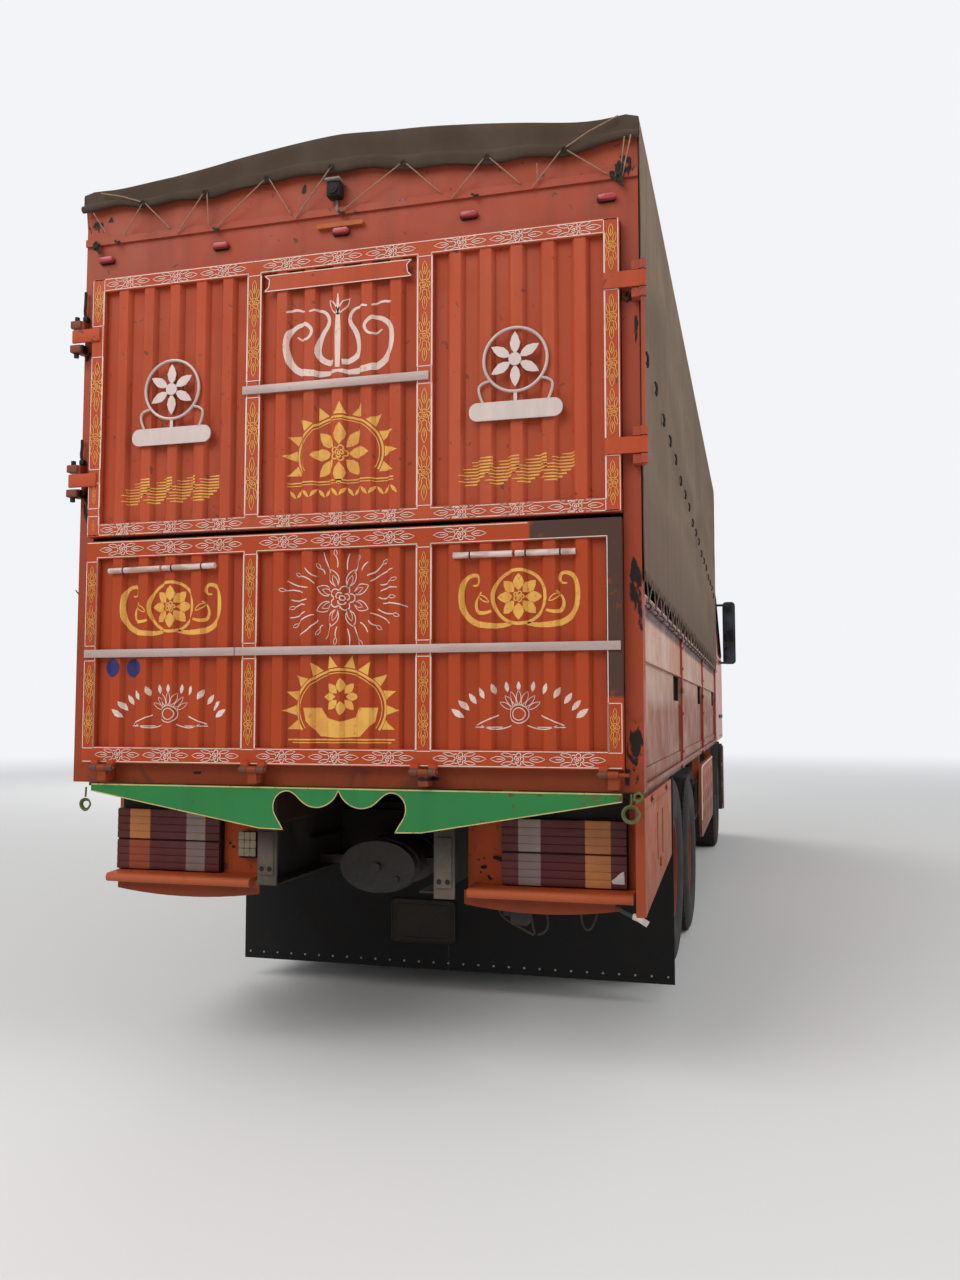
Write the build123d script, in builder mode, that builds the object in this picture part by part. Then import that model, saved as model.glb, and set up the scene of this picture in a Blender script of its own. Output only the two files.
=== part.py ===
"""Decorated three-axle truck with a high sided, tarpaulin covered body.

Millimetres. +Y points to the front, +X to the truck's right, +Z up.
The origin is on the ground, under the middle of the whole truck.
"""

import os
from build123d import *

os.makedirs("parts", exist_ok=True)

# Main sizes along the truck, counted forward from the rear face of the body's rear posts
REAR = -4882
BODY_LENGTH = 7200
TAG_AXLE_Y = REAR + 2250
DRIVE_AXLE_Y = REAR + 3600
FRONT_AXLE_Y = REAR + 8400
FRAME_REAR, FRAME_FRONT = REAR + 100, REAR + 9700
CAB_REAR, CAB_FRONT = REAR + 7550, REAR + 9830
BUMPER_FRONT = REAR + 9850
SIDES = (("left", -1), ("right", 1))

# Wheels: the tag axle is parked lifted clear of the ground
TYRE_RADIUS, TYRE_WIDTH, BEAD_RADIUS = 535, 290, 286
OUTER_TYRE_X, TWIN_SPACING = 1060, 335
AXLE_Z, TAG_LIFT = TYRE_RADIUS, 80
HUB_BORE, SPINDLE_CLEARANCE = 45, 0.05

# Chassis rails
RAIL_TOP, RAIL_DEPTH, RAIL_OUTER, RAIL_FLANGE, RAIL_WALL = 1060, 270, 400, 80, 8
RAIL_BOTTOM = RAIL_TOP - RAIL_DEPTH

# Load body
BODY_HALF = 1250
FLOOR_TOP, FLOOR_THICK, FLOOR_HALF, FLOOR_EDGE = 1309, 40, 1188, 1304
BEARER_BOTTOM = 1190
SILL_BOTTOM = 1222
BOARD_TOP, BOARD_LEDGE, POCKET_BOTTOM = 1991, 1729, 1591
POST_YS = (REAR + 2200, REAR + 4590, REAR + 7070)
POST_WIDTH = 80
GATE_HALF = 1180
REAR_POST_DEPTH = 90
HEADER_BOTTOM, CORNER_TOP, RIDGE_TOP = 3470, 3880, 3985
# Right half of the arched roof at the header: x and height
ROOF = ((0, RIDGE_TOP), (355, 3960), (700, 3917), (1000, 3884), (BODY_HALF, CORNER_TOP))
LOWER_GATE = (1309, 2275)
UPPER_GATE = (2297, 3464)
GATE_FACE, GATE_BACK = REAR - 50, REAR - 5

# Joint axes of the gates
LOWER_HINGE_Y, LOWER_HINGE_Z = REAR - 72, 1290
HINGE_PIN = (1268, REAR - 45)


def block(x, y, z, mode=Mode.ADD):
    """Adds a box that runs between two values along each axis."""
    with Locations(((x[0] + x[1]) / 2, (y[0] + y[1]) / 2, (z[0] + z[1]) / 2)):
        Box(abs(x[1] - x[0]), abs(y[1] - y[0]), abs(z[1] - z[0]), mode=mode)


def rod(start, end, radius, mode=Mode.ADD):
    """Adds a round bar between two points that differ along one axis."""
    step = Vector(*end) - Vector(*start)
    with Locations(Plane(origin=start, z_dir=step.normalized())):
        Cylinder(radius, step.length, align=(Align.CENTER, Align.CENTER, Align.MIN), mode=mode)


def across(y):
    """Plane across the truck at y, with x to the right and z up; a negative amount goes forward."""
    return Plane.XZ.offset(-y)


def along(x):
    """Plane along the truck at x, with y forward and z up; a positive amount goes right."""
    return Plane.YZ.offset(x)


def outline(points, mode=Mode.ADD):
    """Adds a face with straight edges between its corner points."""
    Polygon(*points, align=None, mode=mode)


def roof_line(rise, half):
    """Corner points of the roof's arch from left to right, raised, with its ends at a half width."""
    right = [(x, z + rise) for x, z in ROOF[:-1]] + [(half, CORNER_TOP + rise)]
    return [(-x, z) for x, z in reversed(right)] + right[1:]


def axle_plane(y, z):
    """Plane through a wheel axis: local x is the truck's x, local y the radius."""
    return Plane(origin=(0, y, z), x_dir=(1, 0, 0), z_dir=(0, -1, 0))


# Chassis rails: two channels with the hangers of their springs
# axle y, half span of its spring, top of the axle's spring seat, thickness, rise of the spring's ends
SPRINGS = (
    (TAG_AXLE_Y, 520, 702, 45, 22),
    (DRIVE_AXLE_Y, 560, 612, 80, 90),
    (FRONT_AXLE_Y, 800, 602, 60, 100),
)
SPRING_X = (315, 405)
HANGER_HALF = 35

with BuildPart() as chassis_rails:
    with BuildSketch(across(FRAME_REAR)):
        for side in (-1, 1):
            outline(
                [
                    (side * RAIL_OUTER, RAIL_BOTTOM),
                    (side * RAIL_OUTER, RAIL_TOP),
                    (side * (RAIL_OUTER - RAIL_FLANGE), RAIL_TOP),
                    (side * (RAIL_OUTER - RAIL_FLANGE), RAIL_TOP - RAIL_WALL),
                    (side * (RAIL_OUTER - RAIL_WALL), RAIL_TOP - RAIL_WALL),
                    (side * (RAIL_OUTER - RAIL_WALL), RAIL_BOTTOM + RAIL_WALL),
                    (side * (RAIL_OUTER - RAIL_FLANGE), RAIL_BOTTOM + RAIL_WALL),
                    (side * (RAIL_OUTER - RAIL_FLANGE), RAIL_BOTTOM),
                ]
            )
    extrude(amount=-(FRAME_FRONT - FRAME_REAR))
    for axle_y, half_span, seat, thick, rise in SPRINGS:
        for side in (-1, 1):
            for end in (-1, 1):
                hanger_y = axle_y + end * half_span
                block(
                    (side * SPRING_X[0], side * SPRING_X[1]),
                    (hanger_y - HANGER_HALF, hanger_y + HANGER_HALF),
                    (seat + rise + thick - 12, RAIL_BOTTOM + 1),
                )
chassis_rails.part.label = "chassis_rails"
export_step(chassis_rails.part, "parts/chassis_rails.step")

# Cross members: channels that fit between the rails, open to the front
CROSS_MEMBERS = (REAR + 1050, REAR + 1500, REAR + 2925, REAR + 4300, REAR + 5600, REAR + 6400, REAR + 9600)
MEMBER_WIDTH, MEMBER_HEIGHT = 90, 220
with BuildPart() as cross_members:
    for y in CROSS_MEMBERS:
        with BuildSketch(along(-RAIL_OUTER + RAIL_WALL)):
            with Locations((y, RAIL_BOTTOM + RAIL_DEPTH / 2)):
                Rectangle(MEMBER_WIDTH, MEMBER_HEIGHT)
            with Locations((y + RAIL_WALL, RAIL_BOTTOM + RAIL_DEPTH / 2)):
                Rectangle(MEMBER_WIDTH, MEMBER_HEIGHT - 2 * RAIL_WALL, mode=Mode.SUBTRACT)
        extrude(amount=2 * (RAIL_OUTER - RAIL_WALL))
cross_members.part.label = "cross_members"
export_step(cross_members.part, "parts/cross_members.step")

# Leaf springs: a bowed pack of leaves for each wheel, under the hangers
with BuildPart() as leaf_springs:
    for axle_y, half_span, seat, thick, rise in SPRINGS:
        for side in (-1, 1):
            with BuildSketch(along(side * 360 - 40)):
                with BuildLine():
                    start, end = axle_y - half_span, axle_y + half_span
                    tip = seat + rise - 13
                    low = ThreePointArc((start, tip), (axle_y, seat), (end, tip))
                    Line(low @ 1, (end, tip + thick))
                    high = ThreePointArc((end, tip + thick), (axle_y, seat + thick), (start, tip + thick))
                    Line(high @ 1, low @ 0)
                make_face()
            extrude(amount=80)
leaf_springs.part.label = "leaf_springs"
export_step(leaf_springs.part, "parts/leaf_springs.step")

# Engine and gearbox, one plain block between the rails
with BuildPart() as engine:
    block((-305, 305), (REAR + 7800, REAR + 9200), (670, 1540))
    block((-230, 230), (REAR + 6880, REAR + 7800), (720, 1045))
engine.part.label = "engine"
export_step(engine.part, "parts/engine.step")

# Front axle: a forged beam, dropped in the middle, with an eye for each king pin
KING_PIN_X, KING_PIN_RADIUS = 870, 24
EYE_Z = (475, 595)

with BuildPart() as front_axle:
    half = [
        (0, 520), (300, 520), (300, 600), (420, 600), (420, 545), (600, 560), (760, 585), (840, 585),
        (840, 485), (720, 475), (560, 430), (0, 420),
    ]
    with BuildSketch(across(FRONT_AXLE_Y - 45)):
        for side in (-1, 1):
            outline([(side * x, z) for x, z in half])
    extrude(amount=-90)
    for face in (-1, 1):
        with BuildSketch(across(FRONT_AXLE_Y + face * 45)):
            outline([(-540, 455), (540, 455), (540, 497), (-540, 497)])
        extrude(amount=face * 25, mode=Mode.SUBTRACT)
    for side in (-1, 1):
        rod((side * KING_PIN_X, FRONT_AXLE_Y, EYE_Z[0]), (side * KING_PIN_X, FRONT_AXLE_Y, EYE_Z[1]), 46)
        rod(
            (side * KING_PIN_X, FRONT_AXLE_Y, EYE_Z[0] - 1),
            (side * KING_PIN_X, FRONT_AXLE_Y, EYE_Z[1] + 1),
            KING_PIN_RADIUS + SPINDLE_CLEARANCE,
            Mode.SUBTRACT,
        )
front_axle.part.label = "front_axle"
export_step(front_axle.part, "parts/front_axle.step")

# Steering knuckles: a fork round the beam's eye, king pin, stub axle and steering arm
ARM_BACK, ARM_PIN_RADIUS = 220, 12
TIE_ROD_Z = 418

for name, side in SIDES:
    with BuildPart() as knuckle:
        for low, high in ((435, 470), (600, 635)):
            with BuildSketch(Plane.XY.offset(low)):
                with Locations((side * KING_PIN_X, FRONT_AXLE_Y)):
                    Circle(48)
                with Locations((side * (KING_PIN_X + 45), FRONT_AXLE_Y)):
                    Rectangle(90, 96)
            extrude(amount=high - low)
        block((side * 925, side * 962), (FRONT_AXLE_Y - 48, FRONT_AXLE_Y + 48), (435, 635))
        rod((side * KING_PIN_X, FRONT_AXLE_Y, 440), (side * KING_PIN_X, FRONT_AXLE_Y, 630), KING_PIN_RADIUS)
        rod((side * 960, FRONT_AXLE_Y, AXLE_Z), (side * 1150, FRONT_AXLE_Y, AXLE_Z), HUB_BORE)
        with BuildSketch(Plane.XY.offset(435)):
            with BuildLine():
                Polyline(
                    [
                        (side * (KING_PIN_X - 30), FRONT_AXLE_Y),
                        (side * (KING_PIN_X + 30), FRONT_AXLE_Y),
                        (side * (KING_PIN_X + 20), FRONT_AXLE_Y - ARM_BACK),
                        (side * (KING_PIN_X - 20), FRONT_AXLE_Y - ARM_BACK),
                    ],
                    close=True,
                )
            make_face()
            with Locations((side * KING_PIN_X, FRONT_AXLE_Y - ARM_BACK)):
                Circle(24)
        extrude(amount=30)
        rod(
            (side * KING_PIN_X, FRONT_AXLE_Y - ARM_BACK, TIE_ROD_Z - 26),
            (side * KING_PIN_X, FRONT_AXLE_Y - ARM_BACK, 440),
            ARM_PIN_RADIUS,
        )
    knuckle.part.label = f"knuckle_{name}"
    export_step(knuckle.part, f"parts/knuckle_{name}.step")

# Tie rod between the two steering arms
with BuildPart() as tie_rod:
    rod_y, rod_z = FRONT_AXLE_Y - ARM_BACK, TIE_ROD_Z - 6
    rod((-KING_PIN_X + 20, rod_y, rod_z), (KING_PIN_X - 20, rod_y, rod_z), 14)
    for side, bore in ((-1, ARM_PIN_RADIUS + SPINDLE_CLEARANCE), (1, ARM_PIN_RADIUS + 1)):
        eye = (side * KING_PIN_X, FRONT_AXLE_Y - ARM_BACK)
        rod((*eye, TIE_ROD_Z - 25), (*eye, TIE_ROD_Z + 12), 26)
        rod((*eye, TIE_ROD_Z - 27), (*eye, TIE_ROD_Z + 14), bore, Mode.SUBTRACT)
tie_rod.part.label = "tie_rod"
export_step(tie_rod.part, "parts/tie_rod.step")

# Drive axle: tubes and a round differential housing with its nose
NOSE_Y, NOSE_Z = DRIVE_AXLE_Y + 330, AXLE_Z + 30
with BuildPart() as drive_axle:
    rod((-560, DRIVE_AXLE_Y, AXLE_Z), (560, DRIVE_AXLE_Y, AXLE_Z), 68)
    rod((-1120, DRIVE_AXLE_Y, AXLE_Z), (1120, DRIVE_AXLE_Y, AXLE_Z), HUB_BORE)
    with BuildSketch(axle_plane(DRIVE_AXLE_Y, AXLE_Z)):
        outline([(-190, 0), (-190, 70), (-120, 190), (120, 190), (190, 70), (190, 0)])
    revolve(axis=Axis((0, DRIVE_AXLE_Y, AXLE_Z), (1, 0, 0)))
    rod((0, DRIVE_AXLE_Y, NOSE_Z), (0, NOSE_Y, NOSE_Z), 95)
    for side in (-1, 1):
        block((side * 320, side * 400), (DRIVE_AXLE_Y - 60, DRIVE_AXLE_Y + 60), (AXLE_Z, 611))
drive_axle.part.label = "drive_axle"
export_step(drive_axle.part, "parts/drive_axle.step")

# Propeller shaft with a flange at each end
GEARBOX_REAR, SHAFT_TOP_Z, FLANGE_THICK = REAR + 6880, 790, 22
with BuildPart() as propeller_shaft:
    shaft_start = Vector(0, NOSE_Y + 12, NOSE_Z)
    shaft_end = Vector(0, GEARBOX_REAR - 12, SHAFT_TOP_Z)
    with Locations(Plane(origin=shaft_start, z_dir=(shaft_end - shaft_start).normalized())):
        Cylinder(45, (shaft_end - shaft_start).length, align=(Align.CENTER, Align.CENTER, Align.MIN))
    rod((0, NOSE_Y + 0.5, NOSE_Z), (0, NOSE_Y + FLANGE_THICK, NOSE_Z), 70)
    rod((0, GEARBOX_REAR - FLANGE_THICK, SHAFT_TOP_Z), (0, GEARBOX_REAR - 0.5, SHAFT_TOP_Z), 70)
propeller_shaft.part.label = "propeller_shaft"
export_step(propeller_shaft.part, "parts/propeller_shaft.step")

# Tag axle: a plain tube with spring seats
TAG_Z = AXLE_Z + TAG_LIFT
with BuildPart() as tag_axle:
    rod((-560, TAG_AXLE_Y, TAG_Z), (560, TAG_AXLE_Y, TAG_Z), 62)
    rod((-1120, TAG_AXLE_Y, TAG_Z), (1120, TAG_AXLE_Y, TAG_Z), HUB_BORE)
    for side in (-1, 1):
        block((side * 320, side * 400), (TAG_AXLE_Y - 60, TAG_AXLE_Y + 60), (TAG_Z, 701))
tag_axle.part.label = "tag_axle"
export_step(tag_axle.part, "parts/tag_axle.step")


def tyre_section(middle):
    """Closed section of a tyre about its middle x: bead, side wall, shoulder and tread."""
    with BuildLine() as section:
        half = TYRE_WIDTH / 2
        left = ThreePointArc((middle - 118, BEAD_RADIUS), (middle - half, 410), (middle - 126, 512))
        right = ThreePointArc((middle + 118, BEAD_RADIUS), (middle + half, 410), (middle + 126, 512))
        Polyline(left @ 1, (middle - 112, TYRE_RADIUS), (middle + 112, TYRE_RADIUS), right @ 1)
        Line(left @ 0, right @ 0)
    make_face(section.edges())


# Wheels: axle name, y, z, x of each tyre's middle, x of the hub's inner end and of the wheel disc
WHEELS = (
    ("front", FRONT_AXLE_Y, AXLE_Z, (OUTER_TYRE_X,), 972, 1120),
    ("drive", DRIVE_AXLE_Y, AXLE_Z, (OUTER_TYRE_X, OUTER_TYRE_X - TWIN_SPACING), 600, 892),
    ("tag", TAG_AXLE_Y, TAG_Z, (OUTER_TYRE_X, OUTER_TYRE_X - TWIN_SPACING), 600, 892),
)
HUB_OUT, HAND_HOLES, HAND_HOLE_RADIUS, HAND_HOLE_CIRCLE = 1155, 8, 30, 205
for axle, wheel_y, wheel_z, middles, hub_in, disc_x in WHEELS:
    spin = Axis((0, wheel_y, wheel_z), (1, 0, 0))
    for name, side in SIDES:
        with BuildPart() as tyre:
            with BuildSketch(axle_plane(wheel_y, wheel_z)):
                for middle in middles:
                    tyre_section(side * middle)
            revolve(axis=spin)
        tyre.part.label = f"{axle}_tyre_{name}"
        export_step(tyre.part, f"parts/{axle}_tyre_{name}.step")

        with BuildPart() as rim:
            with BuildSketch(axle_plane(wheel_y, wheel_z)):
                for middle in middles:
                    # The rim's bowl stands out at the disc, towards the other wheel of a pair
                    lean = 1 if disc_x > middle else -1
                    inner, outer = side * (middle - 118), side * (middle + 118)
                    outline([(inner, 285.5), (inner, 273), (outer, 273), (outer, 285.5)])
                    start = middle + lean * 95
                    reach = disc_x - lean * 6
                    outline(
                        [
                            (side * start, 275),
                            (side * reach, 240),
                            (side * reach, 60),
                            (side * (reach + lean * 12), 60),
                            (side * (reach + lean * 12), 240),
                            (side * (start + lean * 14), 275),
                        ]
                    )
                bore = HUB_BORE + SPINDLE_CLEARANCE
                hub_start, hub_end = side * hub_in, side * HUB_OUT
                outline([(hub_start, bore), (hub_start, 110), (hub_end, 95), (hub_end, bore)])
                drum_in, drum_wall, drum_out = [side * (hub_in + reach) for reach in (2, 22, 120)]
                outline([(drum_in, 205), (drum_in, 90), (drum_wall, 90), (drum_wall, 205)])
                outline([(drum_in, 212), (drum_in, 190), (drum_out, 190), (drum_out, 212)])
            revolve(axis=spin)
            with Locations(Plane(origin=(side * disc_x, wheel_y, wheel_z), z_dir=(1, 0, 0))):
                with PolarLocations(HAND_HOLE_CIRCLE, HAND_HOLES):
                    Cylinder(HAND_HOLE_RADIUS, 60, mode=Mode.SUBTRACT)
        rim.part.label = f"{axle}_rim_{name}"
        export_step(rim.part, f"parts/{axle}_rim_{name}.step")

# Fuel tank on the right, air tanks on the left and at the rear, bracketed to the rails
TANK_Y = (REAR + 4550, REAR + 6100)
with BuildPart() as fuel_tank:
    with BuildSketch(across(TANK_Y[0])):
        with Locations((800, 790)):
            RectangleRounded(700, 440, 90)
    extrude(amount=-(TANK_Y[1] - TANK_Y[0]))
    for y in (TANK_Y[0] + 250, TANK_Y[1] - 250):
        block((RAIL_OUTER, 460), (y - 35, y + 35), (800, 1000))
fuel_tank.part.label = "fuel_tank"
export_step(fuel_tank.part, "parts/fuel_tank.step")

OVAL_TANK_X = -34
with BuildPart() as air_tanks:
    for y in (TANK_Y[0] + 100, TANK_Y[0] + 900):
        for z in (690, 890):
            rod((-620, y, z), (-620, y + 700, z), 95)
        block((-540, -RAIL_OUTER), (y + 300, y + 400), (640, 960))
    # The oval one lies between the rails' rear ends
    with BuildSketch(across(REAR + 560)):
        with Locations((OVAL_TANK_X, 817)):
            Ellipse(182, 118)
    extrude(amount=-420)
    for side in (-1, 1):
        bracket_x = (OVAL_TANK_X + side * 176, side * (RAIL_OUTER - RAIL_WALL))
        block(bracket_x, (REAR + 740, REAR + 800), (800, 840))
air_tanks.part.label = "air_tanks"
export_step(air_tanks.part, "parts/air_tanks.step")

# Silencer on the left, behind the cab
with BuildPart() as silencer:
    rod((-620, REAR + 6500, 800), (-620, REAR + 7300, 800), 190)
    block((-450, -RAIL_OUTER), (REAR + 6850, REAR + 6950), (800, 900))
silencer.part.label = "silencer"
export_step(silencer.part, "parts/silencer.step")

# Bed: subframe beams, cross bearers, floor and the outer rave
BODY_FRONT = REAR + BODY_LENGTH
with BuildPart() as bed:
    block((-FLOOR_HALF, FLOOR_HALF), (REAR + 62, BODY_FRONT), (FLOOR_TOP - FLOOR_THICK, FLOOR_TOP))
    block((-1228, 1228), (REAR + 62, BODY_FRONT), (FLOOR_TOP - FLOOR_THICK, FLOOR_EDGE))
    for side in (-1, 1):
        block((side * 320, side * 395), (REAR + 110, BODY_FRONT - 20), (RAIL_TOP, BEARER_BOTTOM))
        block((side * 1205, side * 1235), (REAR + 62, BODY_FRONT), (1200, FLOOR_EDGE))
    bearers = 16
    for i in range(bearers):
        y = REAR + 130 + i * (BODY_LENGTH - 220) / (bearers - 1)
        block((-1210, 1210), (y - 25, y + 25), (BEARER_BOTTOM, FLOOR_TOP - 30))
    for side in (-1, 1):
        corner = (side * (GATE_HALF - 1), side * BODY_HALF)
        block(corner, (REAR, REAR + REAR_POST_DEPTH + 1), (1100, FLOOR_TOP + 1), Mode.SUBTRACT)
bed.part.label = "bed"
export_step(bed.part, "parts/bed.step")

# Side walls: pressed boards with a ledge, posts, top rail and a pocket behind each post
BOARD = [
    (1190, FLOOR_EDGE + 1), (1228, FLOOR_EDGE + 1), (1228, BOARD_LEDGE), (1246, BOARD_LEDGE),
    (1238, BOARD_LEDGE + 20), (1238, 1945), (BODY_HALF, 1950), (BODY_HALF, BOARD_TOP), (1175, BOARD_TOP),
    (1175, 1950), (1190, 1945),
]
WALL_REAR = REAR + REAR_POST_DEPTH + 1
POCKET_LENGTH = 400
with BuildPart() as side_walls:
    for side in (-1, 1):
        with BuildSketch(across(WALL_REAR)):
            outline([(side * x, z) for x, z in BOARD])
        extrude(amount=-(BODY_FRONT - WALL_REAR))
        for y in POST_YS:
            post = (y - POST_WIDTH / 2, y + POST_WIDTH / 2)
            block((side * 1236, side * BODY_HALF), post, (1205, BOARD_TOP))
            block((side * 1190, side * 1240), post, (FLOOR_EDGE + 1, BOARD_TOP))
            pocket = (post[0] - POCKET_LENGTH, post[0])
            block((side * 1205, side * 1260), pocket, (POCKET_BOTTOM, BOARD_LEDGE), Mode.SUBTRACT)
side_walls.part.label = "side_walls"
export_step(side_walls.part, "parts/side_walls.step")

# Front wall of the body, a framed board up to the roof bows
with BuildPart() as front_wall:
    with BuildSketch(across(BODY_FRONT + 1)):
        outline([(-1240, FLOOR_TOP - 40)] + roof_line(-25, 1240) + [(1240, FLOOR_TOP - 40)])
    extrude(amount=-45)
front_wall.part.label = "front_wall"
export_step(front_wall.part, "parts/front_wall.step")

# Rear frame: posts, sill and the tall header under the roof, with hinge and latch brackets
# The upper gate's straps turn on one long pin, each between two knuckles of the frame
UPPER_STRAPS = (2552, 3208)
STRAP_HALF, KNUCKLE_RADIUS, KNUCKLE_NEAR, KNUCKLE_FAR = 32, 15, 37, 72
PIN_RADIUS = 8
LOWER_HINGE_XS = (-1060, -350, 390, 1140)
with BuildPart() as rear_frame:
    with BuildSketch(across(REAR)):
        outline([(-BODY_HALF, SILL_BOTTOM)] + roof_line(0, BODY_HALF) + [(BODY_HALF, SILL_BOTTOM)])
        outline(
            [
                (-GATE_HALF, FLOOR_TOP), (GATE_HALF, FLOOR_TOP), (GATE_HALF, HEADER_BOTTOM),
                (-GATE_HALF, HEADER_BOTTOM),
            ],
            Mode.SUBTRACT,
        )
    extrude(amount=-60)
    for side in (-1, 1):
        post_x = (side * GATE_HALF, side * BODY_HALF)
        block(post_x, (REAR, REAR + REAR_POST_DEPTH), (SILL_BOTTOM, CORNER_TOP - 60))
        for strap in UPPER_STRAPS:
            for end in (-1, 1):
                knuckle_z = (strap + end * KNUCKLE_NEAR, strap + end * KNUCKLE_FAR)
                block((side * 1225, side * BODY_HALF), (REAR - 50, REAR + 5), knuckle_z)
                block((side * 1225, side * 1262), (REAR - 50, REAR - 2), knuckle_z)
                if side > 0:
                    rod((*HINGE_PIN, knuckle_z[0]), (*HINGE_PIN, knuckle_z[1]), KNUCKLE_RADIUS)
    pin_low, pin_high = UPPER_STRAPS[0] - KNUCKLE_FAR - 8, UPPER_STRAPS[1] + KNUCKLE_FAR + 8
    rod((*HINGE_PIN, pin_low), (*HINGE_PIN, pin_high), PIN_RADIUS)
    block((-BODY_HALF, BODY_HALF), (REAR - 12, REAR + 5), (3640, 3672))
    for x in LOWER_HINGE_XS:
        block((x - 20, x + 20), (LOWER_HINGE_Y, REAR + 5), (SILL_BOTTOM + 12, 1282))
        rod((x - 60, LOWER_HINGE_Y, LOWER_HINGE_Z), (x + 60, LOWER_HINGE_Y, LOWER_HINGE_Z), 7)
        rod((x - 20, LOWER_HINGE_Y, LOWER_HINGE_Z), (x + 20, LOWER_HINGE_Y, LOWER_HINGE_Z), 14)
rear_frame.part.label = "rear_frame"
export_step(rear_frame.part, "parts/rear_frame.step")

# Gates: a flat frame with sunk panels of pressed ribs
RECESS_DEPTH, RIB_TOP, RIB_FOOT, RIB_PITCH = 26, 45, 78, 128
# Sunk panels: low x, high x, ribs
PANELS = ((-1116, -418, 5), (-348, 348, 5), (418, 1116, 5))


def gate_slab(low, high, recess_low, recess_high):
    """Slab of a gate between two heights, its panels sunk and ribbed."""
    block((-GATE_HALF + 3, GATE_HALF - 3), (GATE_FACE, GATE_BACK), (low, high))
    for x0, x1, ribs in PANELS:
        block((x0, x1), (GATE_FACE - 1, GATE_FACE + RECESS_DEPTH), (recess_low, recess_high), Mode.SUBTRACT)
        for i in range(ribs):
            x = (x0 + x1) / 2 + (i - (ribs - 1) / 2) * RIB_PITCH
            with BuildSketch(Plane.XY.offset(recess_low)) as rib:
                outline(
                    [
                        (x - RIB_FOOT / 2, GATE_FACE + RECESS_DEPTH), (x - RIB_TOP / 2, GATE_FACE + 4),
                        (x + RIB_TOP / 2, GATE_FACE + 4), (x + RIB_FOOT / 2, GATE_FACE + RECESS_DEPTH),
                    ]
                )
            extrude(rib.sketch, amount=recess_high - recess_low)


with BuildPart() as upper_gate:
    gate_slab(*UPPER_GATE, 2354, 3401)
    for strap in UPPER_STRAPS:
        low, high = strap - STRAP_HALF, strap + STRAP_HALF
        block((1118, 1262), (GATE_FACE - 7, GATE_FACE + 1), (low, high))
        rod((*HINGE_PIN, low), (*HINGE_PIN, high), KNUCKLE_RADIUS)
        rod((*HINGE_PIN, low - 1), (*HINGE_PIN, high + 1), PIN_RADIUS + SPINDLE_CLEARANCE, Mode.SUBTRACT)
upper_gate.part.label = "upper_gate"
export_step(upper_gate.part, "parts/upper_gate.step")

with BuildPart() as lower_gate:
    gate_slab(*LOWER_GATE, 1380, 2198)
    for x in LOWER_HINGE_XS:
        for end in (-1, 1):
            if x + end * 38 > GATE_HALF - 10:
                continue
            ear = (x + end * 38 - 16, x + end * 38 + 16)
            pin = (LOWER_HINGE_Y, LOWER_HINGE_Z)
            block(ear, (LOWER_HINGE_Y, GATE_FACE + 3), (LOWER_HINGE_Z + 8, LOWER_GATE[0] + 13))
            rod((ear[0], *pin), (ear[1], *pin), 14)
            rod((ear[0] - 1, *pin), (ear[1] + 1, *pin), 7 + SPINDLE_CLEARANCE, Mode.SUBTRACT)
lower_gate.part.label = "lower_gate"
export_step(lower_gate.part, "parts/lower_gate.step")

# Roof bows: shallow arches over the load joined by three poles, on pillars that stand on the boards
BOW_YS = (REAR + 1180, REAR + 2200, REAR + 3400, REAR + 4590, REAR + 5830, REAR + 7070)
BOW_HALF, BOW_RISE, BOW_SECTION = 1234, -15, 40
BOW_END = CORNER_TOP + BOW_RISE - BOW_SECTION
TARP_OUTER, TARP_THICK = 1262, 10

with BuildPart() as roof_bows:
    for y in BOW_YS:
        with BuildSketch(across(y - BOW_SECTION / 2)):
            under = roof_line(BOW_RISE - BOW_SECTION, BOW_HALF)
            outline(roof_line(BOW_RISE, BOW_HALF) + under[::-1])
        extrude(amount=-BOW_SECTION)
    for x, z in ((-780, BOW_END + 20), (0, RIDGE_TOP - 72), (780, BOW_END + 20)):
        block((x - 18, x + 18), (REAR + 61, BODY_FRONT), (z - 20, z + 20))
roof_bows.part.label = "roof_bows"
export_step(roof_bows.part, "parts/roof_bows.step")

with BuildPart() as body_pillars:
    for y in BOW_YS:
        for side in (-1, 1):
            block(
                (side * (BOW_HALF - BOW_SECTION), side * BOW_HALF),
                (y - BOW_SECTION / 2, y + BOW_SECTION / 2),
                (BOARD_TOP, BOW_END),
            )
body_pillars.part.label = "body_pillars"
export_step(body_pillars.part, "parts/body_pillars.step")

# Tarpaulin: roof, sides and front, stretched over the bows
TARP_REAR, TARP_FRONT, TARP_HEM = REAR - 14, REAR + 7320, 2050


def hoop(inset):
    """Outline of the covered body above the boards, drawn in by an inset."""
    half = TARP_OUTER - inset
    return [(-half, 1995)] + roof_line(15 - inset, half) + [(half, 1995)]


with BuildPart() as tarpaulin:
    with BuildSketch(across(TARP_REAR)):
        outline(hoop(0))
    extrude(amount=-(TARP_FRONT - TARP_REAR))
    with BuildSketch(across(REAR - 2)):
        outline(hoop(TARP_THICK))
    extrude(amount=-(TARP_FRONT - TARP_THICK - REAR + 2), mode=Mode.SUBTRACT)
    block((-1300, 1300), (REAR - 30, TARP_FRONT + 10), (1900, TARP_HEM), Mode.SUBTRACT)
    block((-1300, 1300), (REAR - 30, REAR - 1), (1900, 3800), Mode.SUBTRACT)
tarpaulin.part.label = "tarpaulin"
export_step(tarpaulin.part, "parts/tarpaulin.step")

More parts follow.
